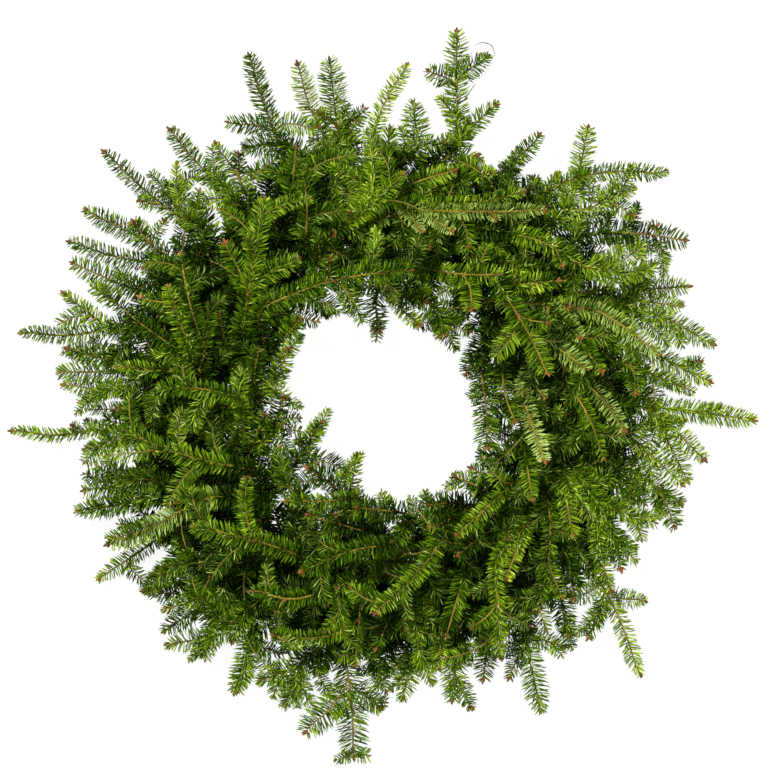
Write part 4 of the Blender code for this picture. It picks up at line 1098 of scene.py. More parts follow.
def reach_by_angle(twigs):
    """The nearest and furthest that the sprays come to the ring's centre, by clock angle."""
    nearest = [MID_RADIUS] * REACH_STEPS
    furthest = [MID_RADIUS] * REACH_STEPS
    for twig in twigs:
        for point in twig.path:
            radius, angle = ring_place(point)
            step = round(angle / (2 * math.pi) * REACH_STEPS)
            for index in (step - 1, step, step + 1):
                index %= REACH_STEPS
                nearest[index] = min(nearest[index], radius)
                furthest[index] = max(furthest[index], radius)
    return nearest, furthest


def within_reach(point, reach):
    radius, angle = ring_place(point)
    index = round(angle / (2 * math.pi) * REACH_STEPS) % REACH_STEPS
    outermost = min(reach[1][index] - FILL_INSET, FILL_LIMIT)
    return reach[0][index] + FILL_INSET < radius < outermost


def curved(root, leaving, tip):
    """A short twig's line, which leaves its parent forwards and bends to its tip."""
    bend = root + leaving * (tip - root).length * SIDE_BEND
    line = [point for _, point in bent(root, bend, tip)]
    for point in line:
        point.z = max(point.z, LOWEST_TIP)
    return line


def sprigs(twigs):
    """The short twigs that are placed one by one, each on the twig nearest its start."""
    grown = []
    for start_pixel, tip_pixel, climb in SPRIGS:
        start = from_pixel(start_pixel)
        nearest = None
        for twig in twigs:
            for index, point in enumerate(twig.path[1:-1]):
                gap = math.hypot(point.x - start.x, point.y - start.y)
                if nearest is None or gap < nearest[0]:
                    nearest = (gap, twig, index + 1)
        _, twig, index = nearest
        root = twig.path[index]
        leaving = (twig.path[index + 1] - root).normalized()
        tip = from_pixel(tip_pixel)
        tip.z = root.z + climb
        path = curved(root, leaving, tip)
        grown.append(Twig(twig.tie, "", path, BARE_AT_FORK, SHORT_TWIG))
    return grown


def filling(twigs, rng):
    """Side twigs in the depth, by turns to the left and the right of each spray."""
    reach = reach_by_angle(twigs)
    fill = []
    for twig in twigs:
        if twig.kind != MAIN_STEM:
            continue
        total = along(twig.path)
        distance = twig.bare + FILL_EVERY * rng.uniform(*FILL_FIRST)
        hand = rng.choice((-1, 1))
        while distance < total[-1] - FILL_STOP:
            root = at_distance(twig.path, total, distance)
            ahead = at_distance(twig.path, total, distance + FORK_AHEAD)
            leaving = (ahead - root).normalized()
            turn = Matrix.Rotation(-hand * math.radians(rng.uniform(*FILL_TURN)), 3, "Z")
            length = rng.uniform(*FILL_LENGTH)
            tip = root + turn @ flat(leaving).normalized() * length
            tip.z = max(root.z * rng.uniform(*FILL_DEPTH), LOWEST_TIP)
            if within_reach(tip, reach):
                path = curved(root, leaving, tip)
                fill.append(Twig(twig.tie, "", path, BARE_AT_FORK, SHORT_TWIG))
            hand = -hand
            distance += FILL_EVERY * rng.uniform(*FILL_PLAY)
    return fill


def undergrowth(rng):
    """Low twigs under the sprays of every tie, fanned out from its stems, dark with painted shade."""
    low = []
    for tie in range(BUNCHES):
        angle = tie * TIE_STEP
        for ahead, across in LOW_TWIGS:
            start = angle + LOW_START / MID_RADIUS
            root = polar(MID_RADIUS, start, LOWEST_STEM)
            leaving = forwards(start)
            ahead *= rng.uniform(*LOW_PLAY_AHEAD)
            across += rng.uniform(-LOW_PLAY_ACROSS, LOW_PLAY_ACROSS)
            tip = polar(MID_RADIUS + across, angle + ahead / MID_RADIUS, rng.uniform(*LOW_HEIGHTS))
            low.append(Twig(tie, "", curved(root, leaving, tip), BARE_AT_FORK, LOW_TWIG))
    return low


# Meshes and objects


def finished(name, work):
    """The mesh of a bmesh, which is freed."""
    mesh = bpy.data.meshes.new(name)
    work.to_mesh(mesh)
    work.free()
    return mesh


def placed(name, data):
    """An object in the scene."""
    item = bpy.data.objects.new(name, data)
    bpy.context.scene.collection.objects.link(item)
    return item


def piece(name, mesh, material, slot, *nodes):
    """An object of the wreath that stands for these nodes of its solids."""
    item = placed(name, mesh)
    mesh.materials.clear()
    mesh.materials.append(material)
    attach(item, "root")
    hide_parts(*nodes)


# Repeated shapes: one small template, set many times into one mesh


class Template:
    """A small closed shape as arrays, to be set many times into one mesh."""

    def __init__(self, work):
        self.creases = np.array([not edge.smooth for edge in work.edges])
        work.normal_update()
        mesh = finished("template", work)
        self.places = read(mesh.vertices, "co", 3)
        self.edges = read(mesh.edges, "vertices", 2, int)
        self.corner_points = read(mesh.loops, "vertex_index", 1, int)[:, 0]
        self.corner_edges = read(mesh.loops, "edge_index", 1, int)[:, 0]
        self.starts = read(mesh.polygons, "loop_start", 1, int)[:, 0]
        self.palette = read(mesh.uv_layers[0].data, "uv", 2) if mesh.uv_layers else None
        bpy.data.meshes.remove(mesh)

    def set_out(self, name, places, rows=None):
        """One mesh with the template at all these places, an array of copies x points x 3."""
        copies, points = places.shape[:2]
        corners = len(self.corner_points)
        shift = np.arange(copies)[:, None]
        mesh = bpy.data.meshes.new(name)
        mesh.vertices.add(copies * points)
        mesh.edges.add(copies * len(self.edges))
        mesh.loops.add(copies * corners)
        mesh.polygons.add(copies * len(self.starts))
        mesh.vertices.foreach_set("co", places.ravel())
        edges = self.edges[None] + shift[:, :, None] * points
        mesh.edges.foreach_set("vertices", edges.ravel())
        mesh.loops.foreach_set("vertex_index", (self.corner_points + shift * points).ravel())
        mesh.loops.foreach_set("edge_index", (self.corner_edges + shift * len(self.edges)).ravel())
        mesh.polygons.foreach_set("loop_start", (self.starts + shift * corners).ravel())
        if rows is not None:
            layer = mesh.uv_layers.new(name="OFBake")
            spots = np.repeat(self.palette[None], copies, axis=0)
            spots[:, :, 1] = (spots[:, :, 1] + rows[:, None]) / TONES
            layer.data.foreach_set("uv", spots.ravel())
        creases = mesh.attributes.new("sharp_edge", "BOOLEAN", "EDGE")
        creases.data.foreach_set("value", np.tile(self.creases, copies))
        mesh.update()
        mesh.polygons.foreach_set("use_smooth", np.ones(len(mesh.polygons), bool))
        return mesh


def read(items, field, width, kind=float):
    values = np.zeros(len(items) * width, kind)
    items.foreach_get(field, values)
    return values.reshape(-1, width)


def needle_template():
    """One needle along +X, of unit length and width: flat above, with a rib beneath.

    Its palette spot says the side (left half above, right half beneath) and how far along it is,
    and across it within its tone's row.
    """
    work = bmesh.new()
    width = NEEDLE_SHAPE[0][1]
    bmesh.ops.create_circle(work, cap_ends=True, segments=3, radius=width / math.sqrt(3))
    bmesh.ops.rotate(work, verts=work.verts, matrix=Matrix.Rotation(math.pi / 2, 3, "Y"))
    bmesh.ops.rotate(work, verts=work.verts, matrix=Matrix.Rotation(-math.pi / 2, 3, "X"))
    end = work.faces[:]
    last = 0.0
    for place, wide in NEEDLE_SHAPE[1:]:
        grown = bmesh.ops.extrude_face_region(work, geom=end + end[0].edges[:])["geom"]
        end = [item for item in grown if isinstance(item, bmesh.types.BMFace)]
        points = end[0].verts
        bmesh.ops.translate(work, verts=points, vec=(place - last, 0.0, 0.0))
        bmesh.ops.scale(work, verts=points, vec=(1.0, wide / width, wide / width))
        last = place
        width = wide
    bmesh.ops.pointmerge(work, verts=end[0].verts, merge_co=(last, 0.0, 0.0))
    bmesh.ops.recalc_face_normals(work, faces=work.faces)
    for edge in work.edges:
        at_edge = all(vertex.co.z > -NUDGE for vertex in edge.verts)
        edge.smooth = not (at_edge and abs(edge.verts[0].co.x - edge.verts[1].co.x) > NUDGE)
    spots = work.loops.layers.uv.new("OFBake")
    for face in work.faces:
        beneath = face.calc_center_median().z < 0
        for corner in face.loops:
            far = min(max(corner.vert.co.x, SPOT_EDGE), 1 - SPOT_EDGE)
            across = 0.5 + SPOT_ACROSS * np.sign(round(corner.vert.co.y, 4))
            corner[spots].uv = ((beneath + far) / 2, across)
    return Template(work)


def bud_template():
    """One pointed bud along +X, of unit length and thickness."""
    work = bmesh.new()
    bmesh.ops.create_uvsphere(work, u_segments=BUD_SIDES, v_segments=BUD_BANDS, radius=0.5)
    bmesh.ops.rotate(work, verts=work.verts, matrix=Matrix.Rotation(math.pi / 2, 3, "Y"))
    for vertex in work.verts:
        vertex.co.x += 0.5
        taper = BUD_AT_BASE - BUD_TAPER * vertex.co.x
        vertex.co.y *= taper
        vertex.co.z *= taper
    return Template(work)


def unit(vectors):
    return vectors / np.maximum(np.linalg.norm(vectors, axis=-1, keepdims=True), TINY)


def square_to(ways, nudge=0.0):
    """For each way, the direction square to it that points most upwards, and its side."""
    up = unit(UP - ways * ways[..., 2:] + nudge)
    return up, np.cross(ways, up)


class Lines:
    """A twig's centre line as arrays, with its directions."""

    def __init__(self, twig):
        points = np.array([tuple(point) for point in finely(twig.path)])
        for _ in range(LINE_SMOOTHING):
            points[1:-1] = (points[:-2] + 2 * points[1:-1] + points[2:]) / 4
        steps = np.linalg.norm(np.diff(points, axis=0), axis=1)
        self.points = points
        self.far = np.concatenate(([0.0], np.cumsum(steps)))
        self.length = self.far[-1]
        self.ways = unit(np.gradient(points, axis=0))

    def at(self, distances):
        places = [np.interp(distances, self.far, self.points[:, i]) for i in range(3)]
        ways = [np.interp(distances, self.far, self.ways[:, i]) for i in range(3)]
        return np.stack(places, axis=1), unit(np.stack(ways, axis=1))


def both_sides(rows):
    """Each row of needles, and the same row on the twig's other side."""
    return [(hand * angle, *rest) for angle, *rest in rows for hand in (1, -1)]


def needle_bed(twig, lines, open_tip, rng):
    """Where the needles of a twig sit: distances, angles round it, leans, lengths, facings."""
    parted = rng.random() < PARTED_SHARE
    forward = rng.normal(0, LEAN_BY_TWIG)
    rows = [(*row, lines.length) for row in both_sides(NEEDLE_ROWS)]
    if parted:
        rows = [row for row in rows if abs(row[0]) > PARTING]
    if twig.kind == MAIN_STEM:
        rows += [(*row, lines.length - twig.shown) for row in both_sides(COVER_ROWS)]
    laid = []
    for angle, lean, size, spacing, facing, last in rows:
        spacing *= NEEDLES_SPARSER[twig.kind]
        count = int(max((last - twig.bare) / spacing, 0))
        place = twig.bare + (np.arange(count) + rng.random()) * spacing
        place += rng.normal(0, SPACING_PLAY * spacing, count)
        angles = angle + rng.normal(0, ANGLE_PLAY, count)
        leans = lean + forward + rng.normal(0, LEAN_PLAY, count)
        laid.append((place, angles, leans, np.full(count, size), np.full(count, facing)))
    count = 0 if open_tip else ROSETTE
    angles = np.arange(count) * 360 / ROSETTE + rng.uniform(0, ROSETTE_TURN)
    place = lines.length - rng.uniform(0.0, ROSETTE_STRETCH, count)
    leans = rng.uniform(*ROSETTE_LEANS, count)
    sizes = np.full(count, ROSETTE_SHARE)
    laid.append((place, angles, leans, sizes, np.full(count, ROSETTE_FACING)))
    return [np.concatenate(column) for column in zip(*laid)]


def lay_needles(twig, lines, rng):
    """The frames of a twig's needles: places, ways, facings, lengths, widths and tones, with painted
    shade below.
    """
    open_tip = rng.random() < OPEN_TIPS
    place, angles, leans, sizes, facing = needle_bed(twig, lines, open_tip, rng)
    count = len(place)
    place = np.clip(place, 0.0, lines.length)
    near_tip = np.clip(1 - (lines.length - place) / TIP_STRETCH, 0.0, 1.0)
    lean_in = OPEN_LEANS_IN if open_tip else CLOSED_LEANS_IN
    leans = np.radians(np.minimum(leans, leans * (1 - lean_in * near_tip)))
    angles = np.radians(angles)
    base, axis = lines.at(place)
    up, side = square_to(axis, np.array((NUDGE, 0.0, 0.0)))
    roll = math.radians(rng.normal(0, ROLL_BY_TWIG))
    if twig.name in SEEN_FROM_BELOW:
        roll += math.pi
    turned_up = up * math.cos(roll) + side * math.sin(roll)
    turned_side = side * math.cos(roll) - up * math.sin(roll)
    outward = turned_up * np.cos(angles)[:, None] + turned_side * np.sin(angles)[:, None]
    way = axis * np.cos(leans)[:, None] + outward * np.sin(leans)[:, None]
    share = rng.uniform(*NEEDLE_SIZES[twig.kind])
    if twig.front:
        share *= FRONT_SHARE
    size = NEEDLE_LENGTH * NEEDLES_OF.get(twig.name, share)
    length = size * sizes * rng.uniform(*LENGTH_PLAY, count) * (1 - SHORTER_AT_TIP * near_tip)
    way[:, 2] = np.maximum(way[:, 2], (NEEDLE_FLOOR - base[:, 2]) / length)
    way = unit(way)
    face = turned_up * (1 - facing)[:, None] + axis * facing[:, None]
    face = face + rng.normal(0, FACING_PLAY, (count, 3))
    face = unit(face - way * np.sum(face * way, axis=1)[:, None])
    width = NEEDLE_WIDTH * NEEDLES_WIDER[twig.kind] * rng.uniform(*WIDTH_PLAY, count)
    sweep = axis - way * np.sum(axis * way, axis=1)[:, None]
    # Lighter towards the tip; darker on the twig's lower side, as painted shade
    fresh_and_painted_shade = TONE_AT_TIP * near_tip - TONE_SHADE_BELOW * (np.cos(angles) < LOWER_SIDE)
    return base, way, face, sweep, length, width, fresh_and_painted_shade


class Canopy:
    """How high the sprays lie over each place, to tell how deep in the wreath a needle is, and so how
    much painted shade it gets.
    """

    def __init__(self, grown):
        self.heights = np.zeros((CANOPY_CELLS, CANOPY_CELLS))
        for twig, lines in grown:
            if twig.kind in (MAIN_STEM, SIDE_SHOOT):
                shown = lines.points[lines.far > lines.length - twig.shown]
                rows, columns = self.cells(shown)
                np.maximum.at(self.heights, (rows, columns), shown[:, 2])
        for _ in range(CANOPY_SPREAD):
            wide = self.heights.copy()
            for axis in (0, 1):
                for shift in (-1, 1):
                    wide = np.maximum(wide, np.roll(self.heights, shift, axis))
            self.heights = wide

    def cells(self, points):
        spots = np.round(points[:, :2] / CANOPY_CELL).astype(int) + CANOPY_CELLS // 2
        return spots[:, 1], spots[:, 0]

    def depth(self, points):
        """Share of painted shade, from 0 at the top of the foliage to 1 where it is fully shaded."""
        below = self.heights[self.cells(points)] - points[:, 2]
        radius = np.hypot(points[:, 0] - RING_X, points[:, 1] - RING_Y)
        covered = np.clip((LIT_RADIUS - radius) / LIT_FADE, LIT_SHADE, 1.0)
        covered *= np.clip((radius - HOLE_LIT) / HOLE_FADE, LIT_SHADE, 1.0)
        return np.clip((below - CANOPY_SKIN) / CANOPY_DEPTH, 0.0, 1.0) * covered


def tone_of(twig, base, fresh_and_painted_shade, canopy, rng):
    """Rows of the palette: darker to the lower left, darker in the depth as painted shade, and fresher
    on some sprays.
    """
    middle = base.mean(axis=0)
    tone = TONE_MIDDLE + TONE_ACROSS * (middle[0] + TONE_UPWARDS * middle[1]) / OUTER_RAIL
    tone += rng.normal(0, TONE_BY_TWIG)
    if twig.name in FRESH:
        tone += TONE_FRESH
    # Painted shade: rows taken away deep under the canopy
    rows = tone + fresh_and_painted_shade - TONE_PAINTED_SHADE * canopy.depth(base)
    rows += rng.normal(0, TONE_BY_NEEDLE, len(base))
    return np.clip(np.round(rows), 0, TONES - 1)


def needle_mesh(name, template, beds, rng):
    """All needles of a bunch in one mesh."""
    base, way, face, sweep, length, width, rows = (np.concatenate(item) for item in zip(*beds))
    bend = rng.normal(NEEDLE_BEND, NEEDLE_BEND, len(base)) * length
    curl = rng.uniform(*SWEEP_PLAY, len(base)) * NEEDLE_SWEEP * length
    x, y, z = template.places.T
    moves = (
        (way, length[:, None] * x),
        (np.cross(face, way), width[:, None] * y),
        (face, NEEDLE_THICKNESS * z - bend[:, None] * x**2),
        (sweep, curl[:, None] * x**2),
    )
    places = base[:, None]
    for direction, amount in moves:
        places = places + direction[:, None] * amount[:, :, None]
    places[:, :, 2] = np.maximum(places[:, :, 2], NEEDLE_FLOOR / 2)
    return template.set_out(name, places, rows)


def bud_mesh(name, template, twigs, rng):
    """The buds at tips and forks: one in line with each twig, and smaller ones beside it."""
    ends = [
        (lines.points[-1], lines.ways[-1], SHORT_TWIG_BUD if twig.kind == SHORT_TWIG else 1.0)
        for twig, lines in twigs
        if twig.kind != LOW_TWIG
    ]
    ends += [
        (lines.points[1], lines.ways[1], FORK_BUD)
        for twig, lines in twigs
        if twig.kind == SIDE_SHOOT
    ]
    places = []
    for tip, axis, share in ends:
        up, side = square_to(axis, NUDGE)
        size = BUD_LENGTH * rng.uniform(*BUD_SIZES) * share
        count = rng.integers(*(SIDE_BUDS if share > SHORT_TWIG_BUD else SIDE_BUDS_OF_SHORT_TWIG))
        turn = rng.uniform(0, 360)
        buds = [(0.0, 0.0, 1.0)]
        for index in range(count):
            lean = rng.uniform(*SIDE_BUD_LEANS)
            buds.append((turn + index * 360 / count, lean, SIDE_BUD_SHARE))
        for angle, lean, part in buds:
            angle = math.radians(angle)
            lean = math.radians(lean)
            outward = up * math.cos(angle) + side * math.sin(angle)
            way = axis * math.cos(lean) + outward * math.sin(lean)
            face = unit(outward - way * (outward @ way))
            across = np.cross(face, way)
            x, y, z = (template.places * size * part).T[:, :, None]
            start = tip - axis * BUD_SUNK + outward * SIDE_BUD_APART * (lean > 0)
            places.append(start + way * x + across * y * BUD_GIRTH + face * z * BUD_GIRTH)
    return template.set_out(name, np.array(places))


# Round stems and wires


def tube_mesh(name, tubes, rounding, closed=False):
    """Round tubes along lines, given as points and radii, in one mesh with welded caps."""
    curve = bpy.data.curves.new(name, "CURVE")
    curve.dimensions = "3D"
    curve.twist_mode = "Z_UP"
    curve.bevel_depth = 1.0
    curve.bevel_resolution = rounding
    curve.use_fill_caps = not closed
    for points, radii in tubes:
        spline = curve.splines.new("POLY")
        spline.points.add(len(points) - 1)
        for control, point, radius in zip(spline.points, points, radii):
            control.co = (*point, 1.0)
            control.radius = radius
        spline.use_cyclic_u = closed
    item = placed(name, curve)
    evaluated = item.evaluated_get(bpy.context.evaluated_depsgraph_get())
    mesh = bpy.data.meshes.new_from_object(evaluated)
    bpy.data.objects.remove(item)
    work = bmesh.new()
    work.from_mesh(mesh)
    bmesh.ops.remove_doubles(work, verts=work.verts, dist=WELD)
    bmesh.ops.recalc_face_normals(work, faces=work.faces)
    for face in work.faces:
        face.smooth = True
    work.to_mesh(mesh)
    work.free()
    return mesh


def twig_mesh(name, twigs, rng):
    """The bare wood of a bunch: every twig a tapered tube, swollen where it forks."""
    tubes = []
    for twig, lines in twigs:
        count = max(TWIG_POINTS, int(lines.length / TWIG_STEP))
        far = np.linspace(0.0, lines.length, count)
        thick, thin = TWIG_RADII[twig.kind]
        radii = thick + (thin - thick) * far / lines.length
        radii = radii * (1 + rng.normal(0, TWIG_PLAY, count))
        radii[0] *= FORK_SWELLING
        tubes.append((lines.at(far)[0], radii))
    return tube_mesh(name, tubes, TWIG_ROUNDING)


def wire_mesh(name, points, radius, closed=False):
    return tube_mesh(name, [(points, [radius] * len(points))], WIRE_ROUNDING, closed)


def ring_mesh():
    """Two round rails, and short flat bars with rounded edges that join them."""
    whole = bmesh.new()
    for radius in (OUTER_RAIL, INNER_RAIL):
        angles = [2 * math.pi * i / RAIL_POINTS for i in range(RAIL_POINTS)]
        points = [polar(radius, angle, RAIL_HEIGHT) for angle in angles]
        whole.from_mesh(wire_mesh("rail", points, RAIL_WIRE / 2, closed=True))
    for index in range(0, BUNCHES, BAR_EVERY):
        bar = bmesh.new()
        bmesh.ops.create_cube(bar, size=1.0)
        length = OUTER_RAIL - INNER_RAIL + RAIL_WIRE * BAR_OVERLAP
        bmesh.ops.scale(bar, vec=(CROSS_BAR_WIDTH, length, CROSS_BAR_HEIGHT), verts=bar.verts)
        bmesh.ops.bevel(
            bar, geom=bar.edges, offset=BAR_ROUNDING, segments=2, affect="EDGES",
            profile=0.5, material=-1,
        )
        turn = Matrix.Rotation(-index * TIE_STEP, 4, "Z")
        middle = polar(MID_RADIUS, index * TIE_STEP, CROSS_BAR_HEIGHT / 2)
        bmesh.ops.transform(bar, matrix=Matrix.Translation(middle) @ turn, verts=bar.verts)
        whole.from_mesh(finished("bar", bar))
    return finished("ring", whole)


def rounded(points, rounds=3):
    """A polyline with its corners cut again and again, until it is smooth."""
    for _ in range(rounds):
        cut = [points[0]]
        for before, after in zip(points, points[1:]):
            cut.append(before.lerp(after, CORNER_CUT))
            cut.append(before.lerp(after, 1 - CORNER_CUT))
        cut.append(points[-1])
        points = cut
    return points


def loose_end(grown):
    """The wire's last stretch, wound round a stem and left in an open loop beside it."""
    lines = next(lines for twig, lines in grown if (twig.name, twig.kind) == (END_SPRAY, MAIN_STEM))
    start = np.array(from_pixel(END_START))
    nearest = np.argmin(np.linalg.norm(lines.points[:, :2] - start[:2], axis=1))
    turns = np.arange(END_TURNS * END_STEPS + 1) / END_STEPS
    places, ways = lines.at(lines.far[nearest] + turns * END_RADIUS * END_PITCH)
    up, side = square_to(ways)
    turned = turns[:, None] * 2 * math.pi
    reach = TWIG_RADII[MAIN_STEM][0] + END_RADIUS
    places = places + (up * np.sin(turned) + side * np.cos(turned)) * reach
    points = [Vector(place) for place in places]
    for index, pixel in enumerate(END_LOOP):
        point = from_pixel(pixel)
        point.z = points[-1].z + (END_CLIMB * index if index < END_CLIMBS else END_RISE)
        points.append(point)
    return wire_mesh("wire_end", rounded(points), END_RADIUS)


# Materials


def new_material(name):
    """A material, its node tree and its shader."""
    material = bpy.data.materials.new(name)
    material.use_nodes = True
    return material, material.node_tree, material.node_tree.nodes["Principled BSDF"]


def added(tree, kind, **settings):
    node = tree.nodes.new(kind)
    for name, value in settings.items():
        setattr(node, name, value)
    return node


def set_values(node, values):
    for name, value in values.items():
        node.inputs[name].default_value = value


def sums(tree, operation, first, second=None, third=None):
    """A Math node on sockets or numbers."""
    node = added(tree, "ShaderNodeMath", operation=operation)
    for socket, value in zip(node.inputs, (first, second, third)):
        if value is None:
            continue
        if isinstance(value, (int, float)):
            socket.default_value = value
        else:
            tree.links.new(value, socket)
    return node.outputs[0]


def ramp(tree, value, stops):
    node = added(tree, "ShaderNodeValToRGB")
    elements = node.color_ramp.elements
    while len(elements) < len(stops):
        elements.new(0.5)
    for element, (place, colour) in zip(elements, stops):
        element.position = place
        element.color = (*colour, 1.0)
    tree.links.new(value, node.inputs["Fac"])
    return node.outputs["Color"]


def mixed(tree, share, first, second):
    node = added(tree, "ShaderNodeMix", data_type="RGBA")
    tree.links.new(share, node.inputs["Factor"])
    for name, colour in (("A", first), ("B", second)):
        socket = [item for item in node.inputs if item.name == name and item.type == "RGBA"][0]
        if isinstance(colour, tuple):
            socket.default_value = (*colour, 1.0)
        else:
            tree.links.new(colour, socket)
    return [item for item in node.outputs if item.type == "RGBA"][0]


def needle_finish():
    """Smooth green above, dull with two silvery bands beneath, by the palette spot alone."""
    material, tree, shader = new_material("fir_needles")
    spot = added(tree, "ShaderNodeUVMap", uv_map="OFBake")
    parts = added(tree, "ShaderNodeSeparateXYZ")
    tree.links.new(spot.outputs["UV"], parts.inputs[0])
    rows = sums(tree, "MULTIPLY", parts.outputs["Y"], TONES)
    tone = sums(tree, "DIVIDE", sums(tree, "FLOOR", rows), TONES - 1)
    across = sums(tree, "FRACT", rows)
    sides = sums(tree, "MULTIPLY", parts.outputs["X"], 2)
    beneath = sums(tree, "FLOOR", sides)
    far = sums(tree, "FRACT", sides)
    above_colour = ramp(tree, tone, TOP_TONES)
    beneath_colour = ramp(tree, tone, UNDERSIDE_TONES)
    off_middle = sums(tree, "ABSOLUTE", sums(tree, "SUBTRACT", across, 0.5))
    off_band = sums(tree, "ABSOLUTE", sums(tree, "SUBTRACT", off_middle, BAND_PLACE))
    band = sums(tree, "LESS_THAN", off_band, BAND_WIDTH / 2)
    banded = mixed(tree, band, beneath_colour, ramp(tree, tone, BAND_TONES))
    both = mixed(tree, beneath, above_colour, banded)
    at_base = sums(tree, "LESS_THAN", far, NEEDLE_BASE)
    base_share = sums(tree, "MULTIPLY", at_base, NEEDLE_BASE_SHARE)
    whole = mixed(tree, base_share, both, NEEDLE_BASE_COLOUR)
    tree.links.new(whole, shader.inputs["Base Color"])
    rough = sums(tree, "MULTIPLY_ADD", beneath, DULL_ROUGHNESS - TOP_ROUGHNESS, TOP_ROUGHNESS)
    tree.links.new(rough, shader.inputs["Roughness"])
    set_values(shader, {"Specular IOR Level": NEEDLE_GLOSS})
    return material


def mottling():
    """Patches, fine grain and height (for painted shade), as masks in one group that bark, buds and
    metals share.
    """
    group = bpy.data.node_groups.new("mottling", "ShaderNodeTree")
    group.interface.new_socket("Place", in_out="INPUT", socket_type="NodeSocketVector")
    for name in ("Patch Scale", "Grain Scale", "Lowest", "Highest"):
        group.interface.new_socket(name, in_out="INPUT", socket_type="NodeSocketFloat")
    for name in ("Patches", "Grain", "Height"):
        group.interface.new_socket(name, in_out="OUTPUT", socket_type="NodeSocketFloat")
    given = added(group, "NodeGroupInput").outputs
    results = added(group, "NodeGroupOutput").inputs
    masks = (("Patch Scale", PATCH_DETAIL, "Patches"), ("Grain Scale", GRAIN_DETAIL, "Grain"))
    for scale, detail, result in masks:
        noise = added(group, "ShaderNodeTexNoise")
        set_values(noise, {"Detail": detail})
        group.links.new(given["Place"], noise.inputs["Vector"])
        group.links.new(given[scale], noise.inputs["Scale"])
        group.links.new(noise.outputs["Fac"], results[result])
    parts = added(group, "ShaderNodeSeparateXYZ")
    group.links.new(given["Place"], parts.inputs[0])
    height = added(group, "ShaderNodeMapRange")
    group.links.new(parts.outputs["Z"], height.inputs["Value"])
    group.links.new(given["Lowest"], height.inputs["From Min"])
    group.links.new(given["Highest"], height.inputs["From Max"])
    group.links.new(height.outputs["Result"], results["Height"])
    return group


def mottled(tree, group, scale, shade=(0.0, 1.0)):
    """The mottling group in a material, with the material's own scale and heights."""
    node = added(tree, "ShaderNodeGroup", node_tree=group)
    place = added(tree, "ShaderNodeTexCoord")
    tree.links.new(place.outputs["Object"], node.inputs["Place"])
    set_values(node, {"Patch Scale": scale, "Grain Scale": scale * GRAIN_FINER})
    set_values(node, {"Lowest": shade[0], "Highest": shade[1]})
    return node.outputs


def bark_finish(name, group, stops, scale, roughness):
    """Mottled bark or bud scales with a fine rough surface, and painted shade deep in the wreath."""
    material, tree, shader = new_material(name)
    masks = mottled(tree, group, scale, BARK_SHADE)
    colour = ramp(tree, masks["Patches"], stops)
    # Painted shade: a darker copy of the colours, mixed in lower down in the wreath
    shaded = [(stop, tuple(BARK_DARK * part for part in tone)) for stop, tone in stops]
    dark = ramp(tree, masks["Patches"], shaded)
    tree.links.new(mixed(tree, masks["Height"], dark, colour), shader.inputs["Base Color"])
    bump = added(tree, "ShaderNodeBump")
    set_values(bump, {"Strength": GRAIN_STRENGTH, "Distance": GRAIN_DEPTH})
    tree.links.new(masks["Grain"], bump.inputs["Height"])
    tree.links.new(bump.outputs["Normal"], shader.inputs["Normal"])
    set_values(shader, {"Roughness": roughness, "Specular IOR Level": BARK_GLOSS})
    return material


def metal_finish(name, group, stops, roughness, metallic):
    """Enamel or bare metal with faint stains."""
    material, tree, shader = new_material(name)
    stained = ramp(tree, mottled(tree, group, STAIN_SCALE)["Patches"], stops)
    tree.links.new(stained, shader.inputs["Base Color"])
    set_values(shader, {"Roughness": roughness, "Metallic": metallic})
    return material


# Floor, light and camera


def floor():
    material, _, shader = new_material("pale_floor")
    set_values(shader, {
        "Base Color": (*FLOOR_COLOUR, 1.0),
        "Emission Color": (1.0, 1.0, 1.0, 1.0),
        "Emission Strength": FLOOR_GLOW,
        "Roughness": FLOOR_ROUGHNESS,
    })
    work = bmesh.new()
    bmesh.ops.create_grid(work, x_segments=1, y_segments=1, size=FLOOR_SIZE / 2)
    item = placed("floor", finished("floor", work))
    item.data.materials.append(material)


def soft_light(name, place, size, power):
    lamp = bpy.data.lights.new(name, "AREA")
    lamp.shape = "DISK"
    lamp.size = size
    lamp.energy = power
    lamp.color = LIGHT_COLOUR
    item = placed(name, lamp)
    item.location = place
    item.rotation_euler = (-Vector(place)).to_track_quat("-Z", "Y").to_euler()


def studio():
    floor()
    soft_light("key", KEY_PLACE, KEY_SIZE, KEY_POWER)
    soft_light("second", SECOND_PLACE, SECOND_SIZE, SECOND_POWER)
    world = bpy.data.worlds.new("studio")
    world.use_nodes = True
    sky = world.node_tree.nodes["Background"]
    set_values(sky, {"Color": (*LIGHT_COLOUR, 1.0), "Strength": SKY})
    bpy.context.scene.world = world
    bpy.context.scene.view_settings.view_transform = "Standard"


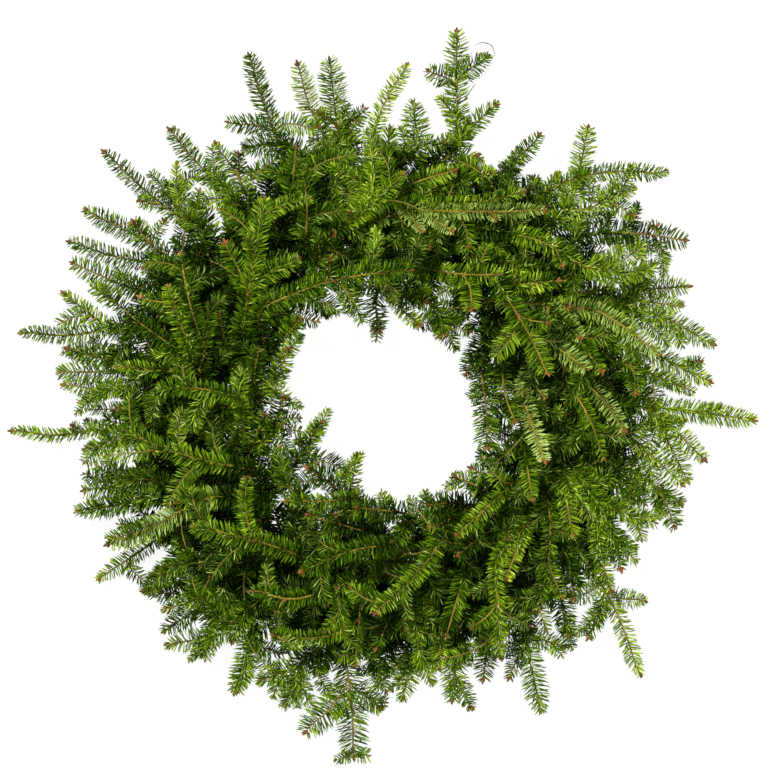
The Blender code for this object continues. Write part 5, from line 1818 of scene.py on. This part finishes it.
def camera():
    """Looks straight down on the wreath from far away."""
    lens = bpy.data.cameras.new("camera")
    lens.sensor_width = SENSOR_WIDTH
    lens.lens = SENSOR_WIDTH * (CAMERA_HEIGHT - FOCUS_HEIGHT) / (PHOTO_PIXELS * PIXEL)
    lens.clip_start = NEAREST_SEEN
    lens.clip_end = FURTHEST_SEEN
    item = placed("camera", lens)
    middle = from_pixel(PHOTO_MIDDLE)
    item.location = (middle.x, middle.y, CAMERA_HEIGHT)
    bpy.context.scene.camera = item


def main():
    studio()
    camera()
    route = winding_points()
    twigs = lay_sprays(wires(route))
    rng = random.Random(FILLING_SEED)
    fill = filling(twigs, rng) + sprigs(twigs) + undergrowth(rng)
    grown = [(twig, Lines(twig)) for twig in twigs + fill]
    canopy = Canopy(grown)

    needles = needle_finish()
    group = mottling()
    bark = bark_finish("fir_bark", group, BARK_COLOURS, BARK_SCALE, BARK_ROUGHNESS)
    scales = bark_finish("bud_scales", group, BUD_COLOURS, BUD_SCALE, BUD_ROUGHNESS)
    enamel = metal_finish("green_enamel", group, ENAMEL_COLOURS, ENAMEL_ROUGHNESS, 0.0)
    bare_wire = metal_finish("florist_wire", group, WIRE_COLOURS, WIRE_ROUGHNESS, 1.0)

    needle = needle_template()
    bud = bud_template()
    rng = np.random.default_rng(NEEDLE_SEED)
    for tie in range(BUNCHES):
        node = f"fir_bunch_{tie + 1:02d}"
        bunch = [(twig, lines) for twig, lines in grown if twig.tie == tie]
        beds = []
        for twig, lines in bunch:
            *frames, fresh_and_painted_shade = lay_needles(twig, lines, rng)
            beds.append((*frames, tone_of(twig, frames[0], fresh_and_painted_shade, canopy, rng)))
        mesh = needle_mesh(node + "_needles", needle, beds, rng)
        piece(node + "_needles", mesh, needles, "fir", node)
        piece(node + "_twigs", twig_mesh(node + "_twigs", bunch, rng), bark, "fir", node)
        piece(node + "_buds", bud_mesh(node + "_buds", bud, bunch, rng), scales, "fir", node)

    piece("ring", ring_mesh(), enamel, "ring_wire", "wire_ring")
    winding = wire_mesh("winding", rounded(route), BINDING_WIRE / 2)
    piece("winding", winding, bare_wire, "binding_wire", "binding_wire")
    piece("wire_end", loose_end(grown), bare_wire, "binding_wire", "binding_wire")


main()
